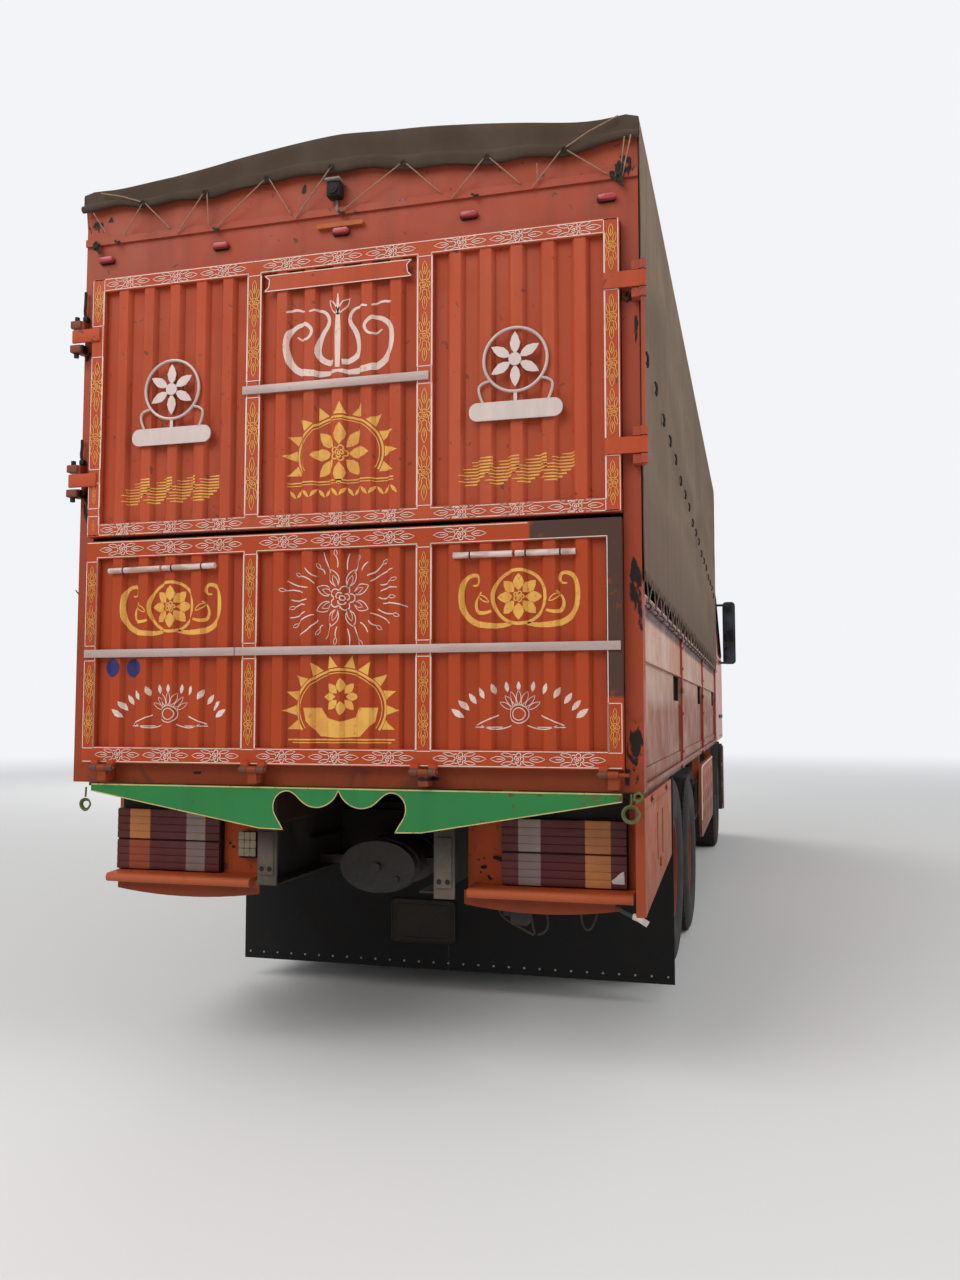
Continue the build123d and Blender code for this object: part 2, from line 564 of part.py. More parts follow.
# Green valance plate under the sill, cut in a scroll at the middle
VALANCE_X, VALANCE_Y, VALANCE_TOP, VALANCE_THICK = 22, REAR - 46, 1220, 5
with BuildPart() as valance:
    with BuildSketch(Plane(origin=(VALANCE_X, VALANCE_Y, 0), x_dir=(1, 0, 0), z_dir=(0, -1, 0))):
        for side in (-1, 1):
            with BuildLine():
                Polyline(
                    (0, 1210), (0, VALANCE_TOP), (side * 1150, VALANCE_TOP), (side * 1150, 1186),
                    (side * 352, 1050), (side * 245, 1045),
                )
                ThreePointArc((side * 245, 1045), (side * 291, 1128), (side * 215, 1201))
                ThreePointArc((side * 215, 1201), (side * 94, 1137), (0, 1210))
            make_face()
    extrude(amount=-VALANCE_THICK)
    for side in (-1, 1):
        block((side * 700, side * 760), (VALANCE_Y + 4, REAR + 1), (1205, 1222))
valance.part.label = "valance"
export_step(valance.part, "parts/valance.step")

# Rear lamp boxes: a housing, a shelf with a rolled lip in front of it and a curved apron below
LENS_X, LENS_Z, LENS_Y, LENS_DEEP = (640, 1158), (821, 1091), REAR + 200, 46
# side, inner and outer edge of the housing, of the lip and of the apron, away from the middle
LAMP_BOXES = (
    (-1, 476, 1157, 455, 1155, 434, 1132),
    (1, 488, 1212, 516, 1190, 490, 1128),
)
with BuildPart() as lamp_boxes:
    for side, box_in, box_out, lip_in, lip_out, apron_in, apron_out in LAMP_BOXES:
        plate = LENS_Y + LENS_DEEP + 1
        block((side * box_in, side * box_out), (plate, plate + 90), (800, BEARER_BOTTOM))
        with BuildSketch(along(side * lip_in)):
            with BuildLine():
                Polyline((plate + 1, 818), (LENS_Y - 65, 812))
                ThreePointArc((LENS_Y - 65, 812), (LENS_Y - 85, 793), (LENS_Y - 65, 774))
                Polyline(
                    (LENS_Y - 65, 774), (LENS_Y - 55, 782), (LENS_Y - 10, 800), (plate + 1, 804),
                    (plate + 1, 818),
                )
            make_face()
        extrude(amount=side * (lip_out - lip_in))
        with BuildSketch(across(LENS_Y - 24)):
            with BuildLine():
                Polyline(
                    (side * apron_out, 740), (side * apron_out, 798), (side * apron_in, 798),
                    (side * apron_in, 740),
                )
                ThreePointArc(
                    (side * apron_in, 740), (side * (apron_in + apron_out) / 2, 714), (side * apron_out, 740),
                )
            make_face()
        extrude(amount=-5)
lamp_boxes.part.label = "lamp_boxes"
export_step(lamp_boxes.part, "parts/lamp_boxes.step")

# Rear lamps: a ribbed lens on each box, and five marker lamps across the header
LENS_RIBS = 8
LENS_RIB = (LENS_Z[1] - LENS_Z[0]) / LENS_RIBS
MARKER_XS = (-1140, -570, 0, 570, 1140)
with BuildPart() as rear_lamps:
    for side in (-1, 1):
        with BuildSketch(along(side * LENS_X[0])):
            profile = [(LENS_Y + LENS_DEEP, LENS_Z[0])]
            for i in range(LENS_RIBS):
                z = LENS_Z[0] + i * LENS_RIB
                profile += [(LENS_Y + 7, z), (LENS_Y, z + 8), (LENS_Y, z + LENS_RIB - 8)]
            profile += [(LENS_Y + 7, LENS_Z[1]), (LENS_Y + LENS_DEEP, LENS_Z[1])]
            outline(profile)
        extrude(amount=side * (LENS_X[1] - LENS_X[0]))
    for x in MARKER_XS:
        block((x - 33, x + 33), (REAR - 28, REAR - 1), (3562, 3590))
rear_lamps.part.label = "rear_lamps"
export_step(rear_lamps.part, "parts/rear_lamps.step")

# Mud flaps: two rubber sheets that meet at a seam, hung from a bar
FLAP_Y = REAR + 1600
with BuildPart() as mud_flaps:
    for side in (-1, 1):
        block((side * 3, side * 1230), (FLAP_Y, FLAP_Y + 8), (110, 780))
        block((side * 410, side * 1230), (FLAP_Y, FLAP_Y + 8), (779, 1180))
mud_flaps.part.label = "mud_flaps"
export_step(mud_flaps.part, "parts/mud_flaps.step")

# Rear lockers along each side and slotted skirts between the wheels; the left locker starts further forward
# side, rear end of the locker, its lower rear corner
LOCKERS = ((-1, REAR + 360, 774), (1, REAR + 2, 752))
LOCKER_FRONT = REAR + 1250
with BuildPart() as side_lockers:
    for side, locker_rear, corner_z in LOCKERS:
        with BuildSketch(along(side * 1232 - 18)):
            outline([(locker_rear, corner_z), (LOCKER_FRONT, 830), (LOCKER_FRONT, 1198), (locker_rear, 1198)])
        extrude(amount=36)
        for y in (REAR + 520, REAR + 760):
            block((side * 1200, side * 1260), (y - 18, y + 18), (900, 1100), Mode.SUBTRACT)
side_lockers.part.label = "side_lockers"
export_step(side_lockers.part, "parts/side_lockers.step")

SKIRT_Y, SKIRT_Z = (REAR + 4260, REAR + 6300), (560, 1120)
with BuildPart() as side_skirts:
    for side in (-1, 1):
        with BuildSketch(along(side * 1232 - 10)):
            with Locations(((SKIRT_Y[0] + SKIRT_Y[1]) / 2, (SKIRT_Z[0] + SKIRT_Z[1]) / 2)):
                RectangleRounded(SKIRT_Y[1] - SKIRT_Y[0], SKIRT_Z[1] - SKIRT_Z[0], 120)
            for i in range(6):
                for z, turn in ((700, 35), (840, -35), (980, 35)):
                    with Locations((SKIRT_Y[0] + 260 + i * 310, z)):
                        SlotOverall(150, 34, rotation=turn, mode=Mode.SUBTRACT)
        extrude(amount=20)
        for y in (SKIRT_Y[0] + 60, SKIRT_Y[1] - 60):
            block((side * 1170, side * 1224), (y - 20, y + 20), (1000, BEARER_BOTTOM))
side_skirts.part.label = "side_skirts"
export_step(side_skirts.part, "parts/side_skirts.step")

# Front bumper with corners swept back, and its head lamps
BUMPER_Z = (340, 1110)
LAMP_X, LAMP_Z = (760, 1140), (640, 860)
TOW_EYE_X, TOW_EYE_Y, TOW_EYE_Z, TOW_EYE_RADIUS = 420, BUMPER_FRONT - 100, 300, 16
with BuildPart() as bumper:
    with BuildSketch(Plane.XY.offset(BUMPER_Z[0])):
        with BuildLine():
            Polyline((-1245, BUMPER_FRONT - 480), (-1245, BUMPER_FRONT - 260))
            ThreePointArc((-1245, BUMPER_FRONT - 260), (-1170, BUMPER_FRONT - 90), (-1000, BUMPER_FRONT - 20))
            ThreePointArc((-1000, BUMPER_FRONT - 20), (0, BUMPER_FRONT), (1000, BUMPER_FRONT - 20))
            ThreePointArc((1000, BUMPER_FRONT - 20), (1170, BUMPER_FRONT - 90), (1245, BUMPER_FRONT - 260))
            Polyline(
                (1245, BUMPER_FRONT - 260), (1245, BUMPER_FRONT - 480), (1185, BUMPER_FRONT - 480),
                (1185, BUMPER_FRONT - 270), (980, BUMPER_FRONT - 140), (-980, BUMPER_FRONT - 140),
                (-1185, BUMPER_FRONT - 270), (-1185, BUMPER_FRONT - 480), (-1245, BUMPER_FRONT - 480),
            )
        make_face()
    extrude(amount=BUMPER_Z[1] - BUMPER_Z[0])
    for side in (-1, 1):
        block((side * LAMP_X[0], side * LAMP_X[1]), (BUMPER_FRONT - 120, BUMPER_FRONT), LAMP_Z, Mode.SUBTRACT)
    block((-560, 560), (BUMPER_FRONT - 60, BUMPER_FRONT + 5), (470, 600), Mode.SUBTRACT)
    for x in (-TOW_EYE_X, TOW_EYE_X):
        block((x - 20, x + 20), (TOW_EYE_Y - 45, TOW_EYE_Y + 45), (TOW_EYE_Z - 40, BUMPER_Z[0] + 1))
        rod((x - 21, TOW_EYE_Y, TOW_EYE_Z), (x + 21, TOW_EYE_Y, TOW_EYE_Z), TOW_EYE_RADIUS, Mode.SUBTRACT)
bumper.part.label = "bumper"
export_step(bumper.part, "parts/bumper.step")

with BuildPart() as head_lamps:
    for side in (-1, 1):
        with BuildSketch(Plane.XY.offset(LAMP_Z[0] + 2)):
            with BuildLine():
                back = BUMPER_FRONT - 118
                Polyline((side * 762, back), (side * 762, back + 94), (side * 1000, back + 84))
                ThreePointArc((side * 1000, back + 84), (side * 1085, back + 56), (side * 1138, back + 12))
                Polyline((side * 1138, back + 12), (side * 1138, back), (side * 762, back))
            make_face()
        extrude(amount=LAMP_Z[1] - LAMP_Z[0] - 4)
head_lamps.part.label = "head_lamps"
export_step(head_lamps.part, "parts/head_lamps.step")

# Steps in front of the wheel and the arch over it, fixed to the chassis on each side
ARCH_RADIUS, ARCH_THICK = 645, 12
with BuildPart() as steps:
    for side in (-1, 1):
        block((side * 760, side * 1235), (FRONT_AXLE_Y + 665, BUMPER_FRONT - 485), (360, 1140))
        for z in (400, 650, 900):
            step_y = (FRONT_AXLE_Y + 705, BUMPER_FRONT - 520)
            block((side * 1000, side * 1240), step_y, (z + 10, z + 215), Mode.SUBTRACT)
        with BuildSketch(along(side * 1075 - 155)):
            with Locations((FRONT_AXLE_Y, AXLE_Z)):
                Circle(ARCH_RADIUS + ARCH_THICK)
                Circle(ARCH_RADIUS, mode=Mode.SUBTRACT)
            with Locations((FRONT_AXLE_Y, AXLE_Z - 400)):
                Rectangle(1600, 1000, mode=Mode.SUBTRACT)
        extrude(amount=310)
        block((side * 400, side * 930), (FRONT_AXLE_Y + 670, FRONT_AXLE_Y + 730), (900, 960))
steps.part.label = "steps"
export_step(steps.part, "parts/steps.step")

# Cab: outer form and inner space, each the overlap of a side, a front and a top outline
CAB_BOTTOM, CAB_FLOOR, CAB_WALL, CAB_HALF = 1215, 1500, 60, 1238
SIDE_OUTLINE = [
    (CAB_REAR, CAB_BOTTOM), (CAB_REAR, 3400), (CAB_REAR + 130, 3520), (CAB_FRONT - 760, 3560),
    (CAB_FRONT - 440, 3420), (CAB_FRONT - 300, 3080), (CAB_FRONT - 40, 2120), (CAB_FRONT, 1900),
    (CAB_FRONT, CAB_BOTTOM),
]
FRONT_OUTLINE = [
    (-CAB_HALF, CAB_BOTTOM), (-CAB_HALF, 2150), (-1165, 3250), (-1000, 3570),
    (1000, 3570), (1165, 3250), (CAB_HALF, 2150), (CAB_HALF, CAB_BOTTOM),
]
TUNNEL_HALF, TUNNEL_TOP, TUNNEL_WALL = 420, 1680, 45
TUNNEL_OUTER = (-TUNNEL_HALF - TUNNEL_WALL, TUNNEL_HALF + TUNNEL_WALL)


def top_outline(inset):
    """Plan of the cab, its front corners rounded."""
    half, rear, front = CAB_HALF - inset, CAB_REAR + inset, CAB_FRONT - inset
    with BuildLine() as plan:
        Polyline((-half + 260, front - 20), (0, front), (half - 260, front - 20))
        ThreePointArc((half - 260, front - 20), (half - 76, front - 96), (half, front - 280))
        Polyline((half, front - 280), (half, rear), (-half, rear), (-half, front - 280))
        ThreePointArc((-half, front - 280), (-half + 76, front - 96), (-half + 260, front - 20))
    make_face(plan.edges())


def cab_form(inset):
    """Closed form of the cab, drawn in all round by an inset."""
    with BuildSketch(along(-CAB_HALF - 20)) as side_view:
        outline(SIDE_OUTLINE)
        if inset:
            offset(amount=-inset, kind=Kind.INTERSECTION)
    extrude(side_view.sketch, amount=2 * CAB_HALF + 40)
    with BuildSketch(across(CAB_REAR - 10)) as front_view:
        outline(FRONT_OUTLINE)
        if inset:
            offset(amount=-inset, kind=Kind.INTERSECTION)
    extrude(front_view.sketch, amount=-(CAB_FRONT - CAB_REAR + 20), mode=Mode.INTERSECT)
    with BuildSketch(Plane.XY.offset(CAB_BOTTOM - 10)) as top_view:
        top_outline(inset)
    extrude(top_view.sketch, amount=2500, mode=Mode.INTERSECT)


with BuildPart() as cab_outer:
    cab_form(0)

with BuildPart() as cab_space:
    cab_form(CAB_WALL)
    block((-1300, 1300), (CAB_REAR, CAB_FRONT), (CAB_BOTTOM, CAB_FLOOR), Mode.SUBTRACT)
    block(TUNNEL_OUTER, (CAB_REAR, CAB_FRONT - 500), (CAB_BOTTOM, TUNNEL_TOP + TUNNEL_WALL), Mode.SUBTRACT)

with BuildPart() as under_space:
    inner_half = (CAB_WALL - CAB_HALF, CAB_HALF - CAB_WALL)
    block(inner_half, (CAB_REAR - 20, CAB_FRONT - CAB_WALL), (CAB_BOTTOM - 10, CAB_FLOOR - 45))
    block((-TUNNEL_HALF, TUNNEL_HALF), (CAB_REAR - 20, CAB_FRONT - 545), (CAB_BOTTOM - 10, TUNNEL_TOP))

# Door, its window and the side's small gaps, as outlines in side view
DOOR_REAR, DOOR_HINGE_Y, DOOR_BOTTOM, DOOR_TOP = CAB_FRONT - 1400, CAB_FRONT - 410, 1255, 3040
DOOR_GAP, DOOR_SKIN, DOOR_STEP = 8, 14, 25
DOOR = [
    (DOOR_REAR, DOOR_BOTTOM), (DOOR_HINGE_Y, DOOR_BOTTOM), (DOOR_HINGE_Y, 2200),
    (DOOR_HINGE_Y - 190, DOOR_TOP), (DOOR_REAR, DOOR_TOP),
]
DOOR_WINDOW = [
    (DOOR_REAR + 90, 2200), (DOOR_HINGE_Y - 90, 2200), (DOOR_HINGE_Y - 100, 2260), (DOOR_HINGE_Y - 255, 2950),
    (DOOR_REAR + 90, 2950),
]
WINDSCREEN = [(-1060, 2180), (1060, 2180), (1010, 3020), (-1010, 3020)]
GRILLE_X, GRILLE_Z = 860, (1330, 1960)

# The cab's panels: floor with the engine tunnel, walls, and the roof above the doors
ROOF_SEAM = 3100
DOORWAY_FLOOR_HALF = CAB_HALF - CAB_WALL - DOOR_GAP
with BuildPart() as doorways:
    for side in (-1, 1):
        with BuildSketch(along(side * 1150 - 130)):
            outline(DOOR)
            offset(amount=DOOR_GAP, kind=Kind.INTERSECTION)
        extrude(amount=260)
    floor_half = (-DOORWAY_FLOOR_HALF, DOORWAY_FLOOR_HALF)
    block(floor_half, (CAB_REAR, CAB_FRONT), (CAB_BOTTOM, CAB_FLOOR), Mode.SUBTRACT)

with BuildPart() as cab_panels:
    add(cab_outer.part)
    add(cab_space.part, mode=Mode.SUBTRACT)
    add(under_space.part, mode=Mode.SUBTRACT)
    add(doorways.part, mode=Mode.SUBTRACT)
    with BuildSketch(across(CAB_FRONT - 420)):
        outline(WINDSCREEN)
    extrude(amount=-460, mode=Mode.SUBTRACT)
    block((-GRILLE_X, GRILLE_X), (CAB_FRONT - 100, CAB_FRONT + 10), GRILLE_Z, Mode.SUBTRACT)

with BuildPart() as above_floor:
    block((-1300, 1300), (CAB_REAR - 20, CAB_FRONT + 20), (CAB_FLOOR, ROOF_SEAM))
    tunnel_y, tunnel_z = (CAB_REAR - 20, CAB_FRONT - 500), (CAB_FLOOR, TUNNEL_TOP + TUNNEL_WALL)
    block(TUNNEL_OUTER, tunnel_y, tunnel_z, Mode.SUBTRACT)

with BuildPart() as cab_shell:
    add(cab_panels.part)
    add(above_floor.part, mode=Mode.INTERSECT)
cab_shell.part.label = "cab_shell"
export_step(cab_shell.part, "parts/cab_shell.step")

with BuildPart() as cab_roof:
    add(cab_panels.part)
    block((-1300, 1300), (CAB_REAR - 20, CAB_FRONT + 20), (CAB_BOTTOM - 20, ROOF_SEAM), Mode.SUBTRACT)
cab_roof.part.label = "cab_roof"
export_step(cab_roof.part, "parts/cab_roof.step")

with BuildPart() as cab_floor:
    add(cab_panels.part)
    add(above_floor.part, mode=Mode.SUBTRACT)
    block((-1300, 1300), (CAB_REAR - 20, CAB_FRONT + 20), (ROOF_SEAM, ROOF_SEAM + 600), Mode.SUBTRACT)
cab_floor.part.label = "cab_floor"
export_step(cab_floor.part, "parts/cab_floor.step")

with BuildPart() as windscreen:
    cab_form(14)
    with BuildSketch(along(-CAB_HALF - 20)):
        outline(SIDE_OUTLINE)
        offset(amount=-20, kind=Kind.INTERSECTION)
    extrude(amount=2 * CAB_HALF + 40, mode=Mode.SUBTRACT)
    with BuildSketch(across(CAB_FRONT - 500)):
        outline(WINDSCREEN)
    extrude(amount=-520, mode=Mode.INTERSECT)
windscreen.part.label = "windscreen"
export_step(windscreen.part, "parts/windscreen.step")

# Grille: a frame that fills the cab's front opening, with level bars
with BuildPart() as grille:
    block((-GRILLE_X + 1, GRILLE_X - 1), (CAB_FRONT - 58, CAB_FRONT - 12), (GRILLE_Z[0] + 1, GRILLE_Z[1] - 1))
    bars = 6
    gap = (GRILLE_Z[1] - GRILLE_Z[0] - 60) / bars
    for i in range(bars):
        z = GRILLE_Z[0] + 42 + i * gap
        block((-GRILLE_X + 40, GRILLE_X - 40), (CAB_FRONT - 60, CAB_FRONT), (z, z + gap - 34), Mode.SUBTRACT)
    back_plate = (-GRILLE_X + 20, GRILLE_X - 20)
    block(back_plate, (CAB_FRONT - 58, CAB_FRONT - 52), (GRILLE_Z[0] + 20, GRILLE_Z[1] - 20))
grille.part.label = "grille"
export_step(grille.part, "parts/grille.step")

with BuildPart() as skin_inside:
    cab_form(DOOR_SKIN)

# Doors: the outer skin laps over an inner frame that is stepped in, so that the edge clears as it swings
for name, side in SIDES:
    with BuildPart() as door_frame:
        add(skin_inside.part)
        add(cab_space.part, mode=Mode.SUBTRACT)
        add(under_space.part, mode=Mode.SUBTRACT)
        with BuildSketch(along(side * 1150 - 130)):
            outline(DOOR)
            offset(amount=-DOOR_STEP, kind=Kind.INTERSECTION)
        extrude(amount=260, mode=Mode.INTERSECT)
        block(inner_half, (CAB_REAR, CAB_FRONT), (CAB_BOTTOM, CAB_FLOOR), Mode.SUBTRACT)

    with BuildPart() as door:
        add(cab_outer.part)
        add(skin_inside.part, mode=Mode.SUBTRACT)
        with BuildSketch(along(side * 1150 - 130)):
            outline(DOOR)
        extrude(amount=260, mode=Mode.INTERSECT)
        add(door_frame.part)
        with BuildSketch(along(side * 1150 - 130)):
            outline(DOOR_WINDOW)
        extrude(amount=260, mode=Mode.SUBTRACT)
    door.part.label = f"door_{name}"
    export_step(door.part, f"parts/door_{name}.step")

    with BuildPart() as door_glass:
        with BuildSketch(across(DOOR_REAR)):
            outline(FRONT_OUTLINE)
            offset(amount=-26, kind=Kind.INTERSECTION)
        extrude(amount=-1100)
        with BuildSketch(across(DOOR_REAR)):
            outline(FRONT_OUTLINE)
            offset(amount=-32, kind=Kind.INTERSECTION)
        extrude(amount=-1100, mode=Mode.SUBTRACT)
        with BuildSketch(along(side * 1150 - 130)):
            outline(DOOR_WINDOW)
        extrude(amount=260, mode=Mode.INTERSECT)
    door_glass.part.label = f"door_glass_{name}"
    export_step(door_glass.part, f"parts/door_glass_{name}.step")

    # Mirror: two arms from the door to a tall rounded housing
    with BuildPart() as mirror:
        with BuildSketch(across(DOOR_HINGE_Y - 300)):
            with Locations((side * 1348, 2500)):
                RectangleRounded(150, 760, 45)
        extrude(amount=-110)
        for skin_x, z in ((1238, 2136), (1192.5, 2850)):
            block((side * skin_x, side * 1320), (DOOR_HINGE_Y - 217, DOOR_HINGE_Y - 193), (z - 13, z + 13))
    mirror.part.label = f"mirror_{name}"
    export_step(mirror.part, f"parts/mirror_{name}.step")

# Seats: a cushion and a back on a box for the driver and the passenger
SEAT_X = 740
# Side view of a seat, from the cab's rear and the ground
SEAT = [
    (620, 1501), (1060, 1501), (1060, 1720), (1150, 1760), (1150, 1880), (760, 1850), (640, 2620), (520, 2620),
    (600, 1760),
]
with BuildPart() as seats:
    for side in (-1, 1):
        with BuildSketch(along(side * SEAT_X - 250)):
            with BuildLine():
                Polyline([(CAB_REAR + y, z) for y, z in SEAT], close=True)
            make_face()
        extrude(amount=500)
seats.part.label = "seats"
export_step(seats.part, "parts/seats.step")

# Dashboard across the cab, and the steering wheel on its column at the left
with BuildPart() as dashboard:
    with BuildSketch(along(-1120)):
        outline(
            [
                (CAB_FRONT - 400, 1760), (CAB_FRONT - 90, 1760), (CAB_FRONT - 90, 2130),
                (CAB_FRONT - 180, 2150), (CAB_FRONT - 420, 2110), (CAB_FRONT - 500, 1960),
            ]
        )
    extrude(amount=2240)
    add(cab_space.part, mode=Mode.INTERSECT)
dashboard.part.label = "dashboard"
export_step(dashboard.part, "parts/dashboard.step")

WHEEL_MIDDLE = Vector(-SEAT_X, CAB_FRONT - 730, 2130)
with BuildPart() as steering_wheel:
    tilt = Plane(origin=WHEEL_MIDDLE, x_dir=(1, 0, 0), z_dir=(0, -0.6, 0.8))
    with Locations(tilt):
        Torus(215, 15)
        Cylinder(45, 40)
        Box(420, 40, 16)
        Cylinder(28, 330, align=(Align.CENTER, Align.CENTER, Align.MAX))
steering_wheel.part.label = "steering_wheel"
export_step(steering_wheel.part, "parts/steering_wheel.step")
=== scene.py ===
import math

import bmesh
import bpy
from mathutils import Matrix, Vector, noise


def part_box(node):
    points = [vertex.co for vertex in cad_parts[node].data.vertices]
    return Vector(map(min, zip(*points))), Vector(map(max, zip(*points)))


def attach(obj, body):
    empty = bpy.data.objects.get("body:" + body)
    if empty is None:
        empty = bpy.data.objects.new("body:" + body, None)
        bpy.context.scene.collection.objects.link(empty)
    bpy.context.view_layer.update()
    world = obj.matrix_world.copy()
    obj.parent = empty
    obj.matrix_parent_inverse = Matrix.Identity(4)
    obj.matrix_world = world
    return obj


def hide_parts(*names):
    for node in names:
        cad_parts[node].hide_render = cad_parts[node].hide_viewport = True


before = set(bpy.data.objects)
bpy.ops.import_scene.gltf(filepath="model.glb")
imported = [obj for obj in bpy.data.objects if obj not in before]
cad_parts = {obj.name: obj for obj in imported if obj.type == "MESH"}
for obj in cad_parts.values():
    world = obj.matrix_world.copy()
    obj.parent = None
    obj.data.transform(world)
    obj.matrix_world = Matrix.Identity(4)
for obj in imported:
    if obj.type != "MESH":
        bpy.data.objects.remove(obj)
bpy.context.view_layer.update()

# The photograph's viewpoint: behind the truck, to the right of its middle, at eye height.
# Its picture is 960 x 1280, and the focal length follows from the fitted perspective.
VIEW_PLACE = (1.67, -8.909, 1.526)
VIEW_TURN = (math.radians(93.96), 0.0, math.radians(14.83))
FOCAL_MM, FILM_MM = 29.41, 36.0

camera_data = bpy.data.cameras.new("viewpoint")
camera_data.lens = FOCAL_MM
camera_data.sensor_width = FILM_MM
camera_data.sensor_fit = "AUTO"
camera = bpy.data.objects.new("viewpoint", camera_data)
camera.location = VIEW_PLACE
camera.rotation_euler = VIEW_TURN
bpy.context.scene.collection.objects.link(camera)
bpy.context.scene.camera = camera
bpy.context.scene.view_settings.view_transform = "Standard"


# The studio: a pale floor and a white background that only the camera and reflections see.
# The lamps are large and soft, so that a colour renders about as it is written.
def lamp(name, place, aim, size, watts):
    """Square area lamp at a place, turned to a point."""
    data = bpy.data.lights.new(name, "AREA")
    data.size = size
    data.energy = watts
    light = bpy.data.objects.new(name, data)
    light.location = place
    light.rotation_euler = (Vector(aim) - Vector(place)).to_track_quat("-Z", "Y").to_euler()
    bpy.context.scene.collection.objects.link(light)


def mixed(tree, share, first, second):
    """Mix of two shaders by a share."""
    mix = tree.nodes.new("ShaderNodeMixShader")
    for socket, output in zip(mix.inputs, (share, first.outputs[0], second.outputs[0])):
        tree.links.new(output, socket)
    return mix


def seen_only(tree, seen, real):
    """Shader that is one thing to the camera and to reflections, and another to the light."""
    path = tree.nodes.new("ShaderNodeLightPath")
    share = path.outputs["Is Camera Ray"]
    for ray in ("Is Glossy Ray", "Is Transmission Ray"):
        either = tree.nodes.new("ShaderNodeMath")
        either.operation = "MAXIMUM"
        tree.links.new(share, either.inputs[0])
        tree.links.new(path.outputs[ray], either.inputs[1])
        share = either.outputs[0]
    return mixed(tree, share, real, seen)


SKY_LIGHT, SKY_SEEN, SKY_COLOUR = 0.52, 0.93, (0.96, 0.97, 1.0, 1)
world = bpy.data.worlds.new("studio")
world.use_nodes = True
bpy.context.scene.world = world
tree = world.node_tree
lit = tree.nodes["Background"]
lit.inputs["Color"].default_value = (0.93, 0.96, 1.0, 1)
lit.inputs["Strength"].default_value = SKY_LIGHT
shown = tree.nodes.new("ShaderNodeBackground")
shown.inputs["Color"].default_value = SKY_COLOUR
shown.inputs["Strength"].default_value = SKY_SEEN
tree.links.new(seen_only(tree, shown, lit).outputs[0], tree.nodes["World Output"].inputs["Surface"])
lamp("high_back_light", (-5.0, -14.0, 11.0), (0, -3.0, 1.5), 9.0, 1150)
lamp("right_light", (14.0, -6.0, 9.0), (0, 0, 1.5), 9.0, 1000)
lamp("front_light", (-9.0, 13.0, 9.0), (0, 2.0, 1.5), 9.0, 750)


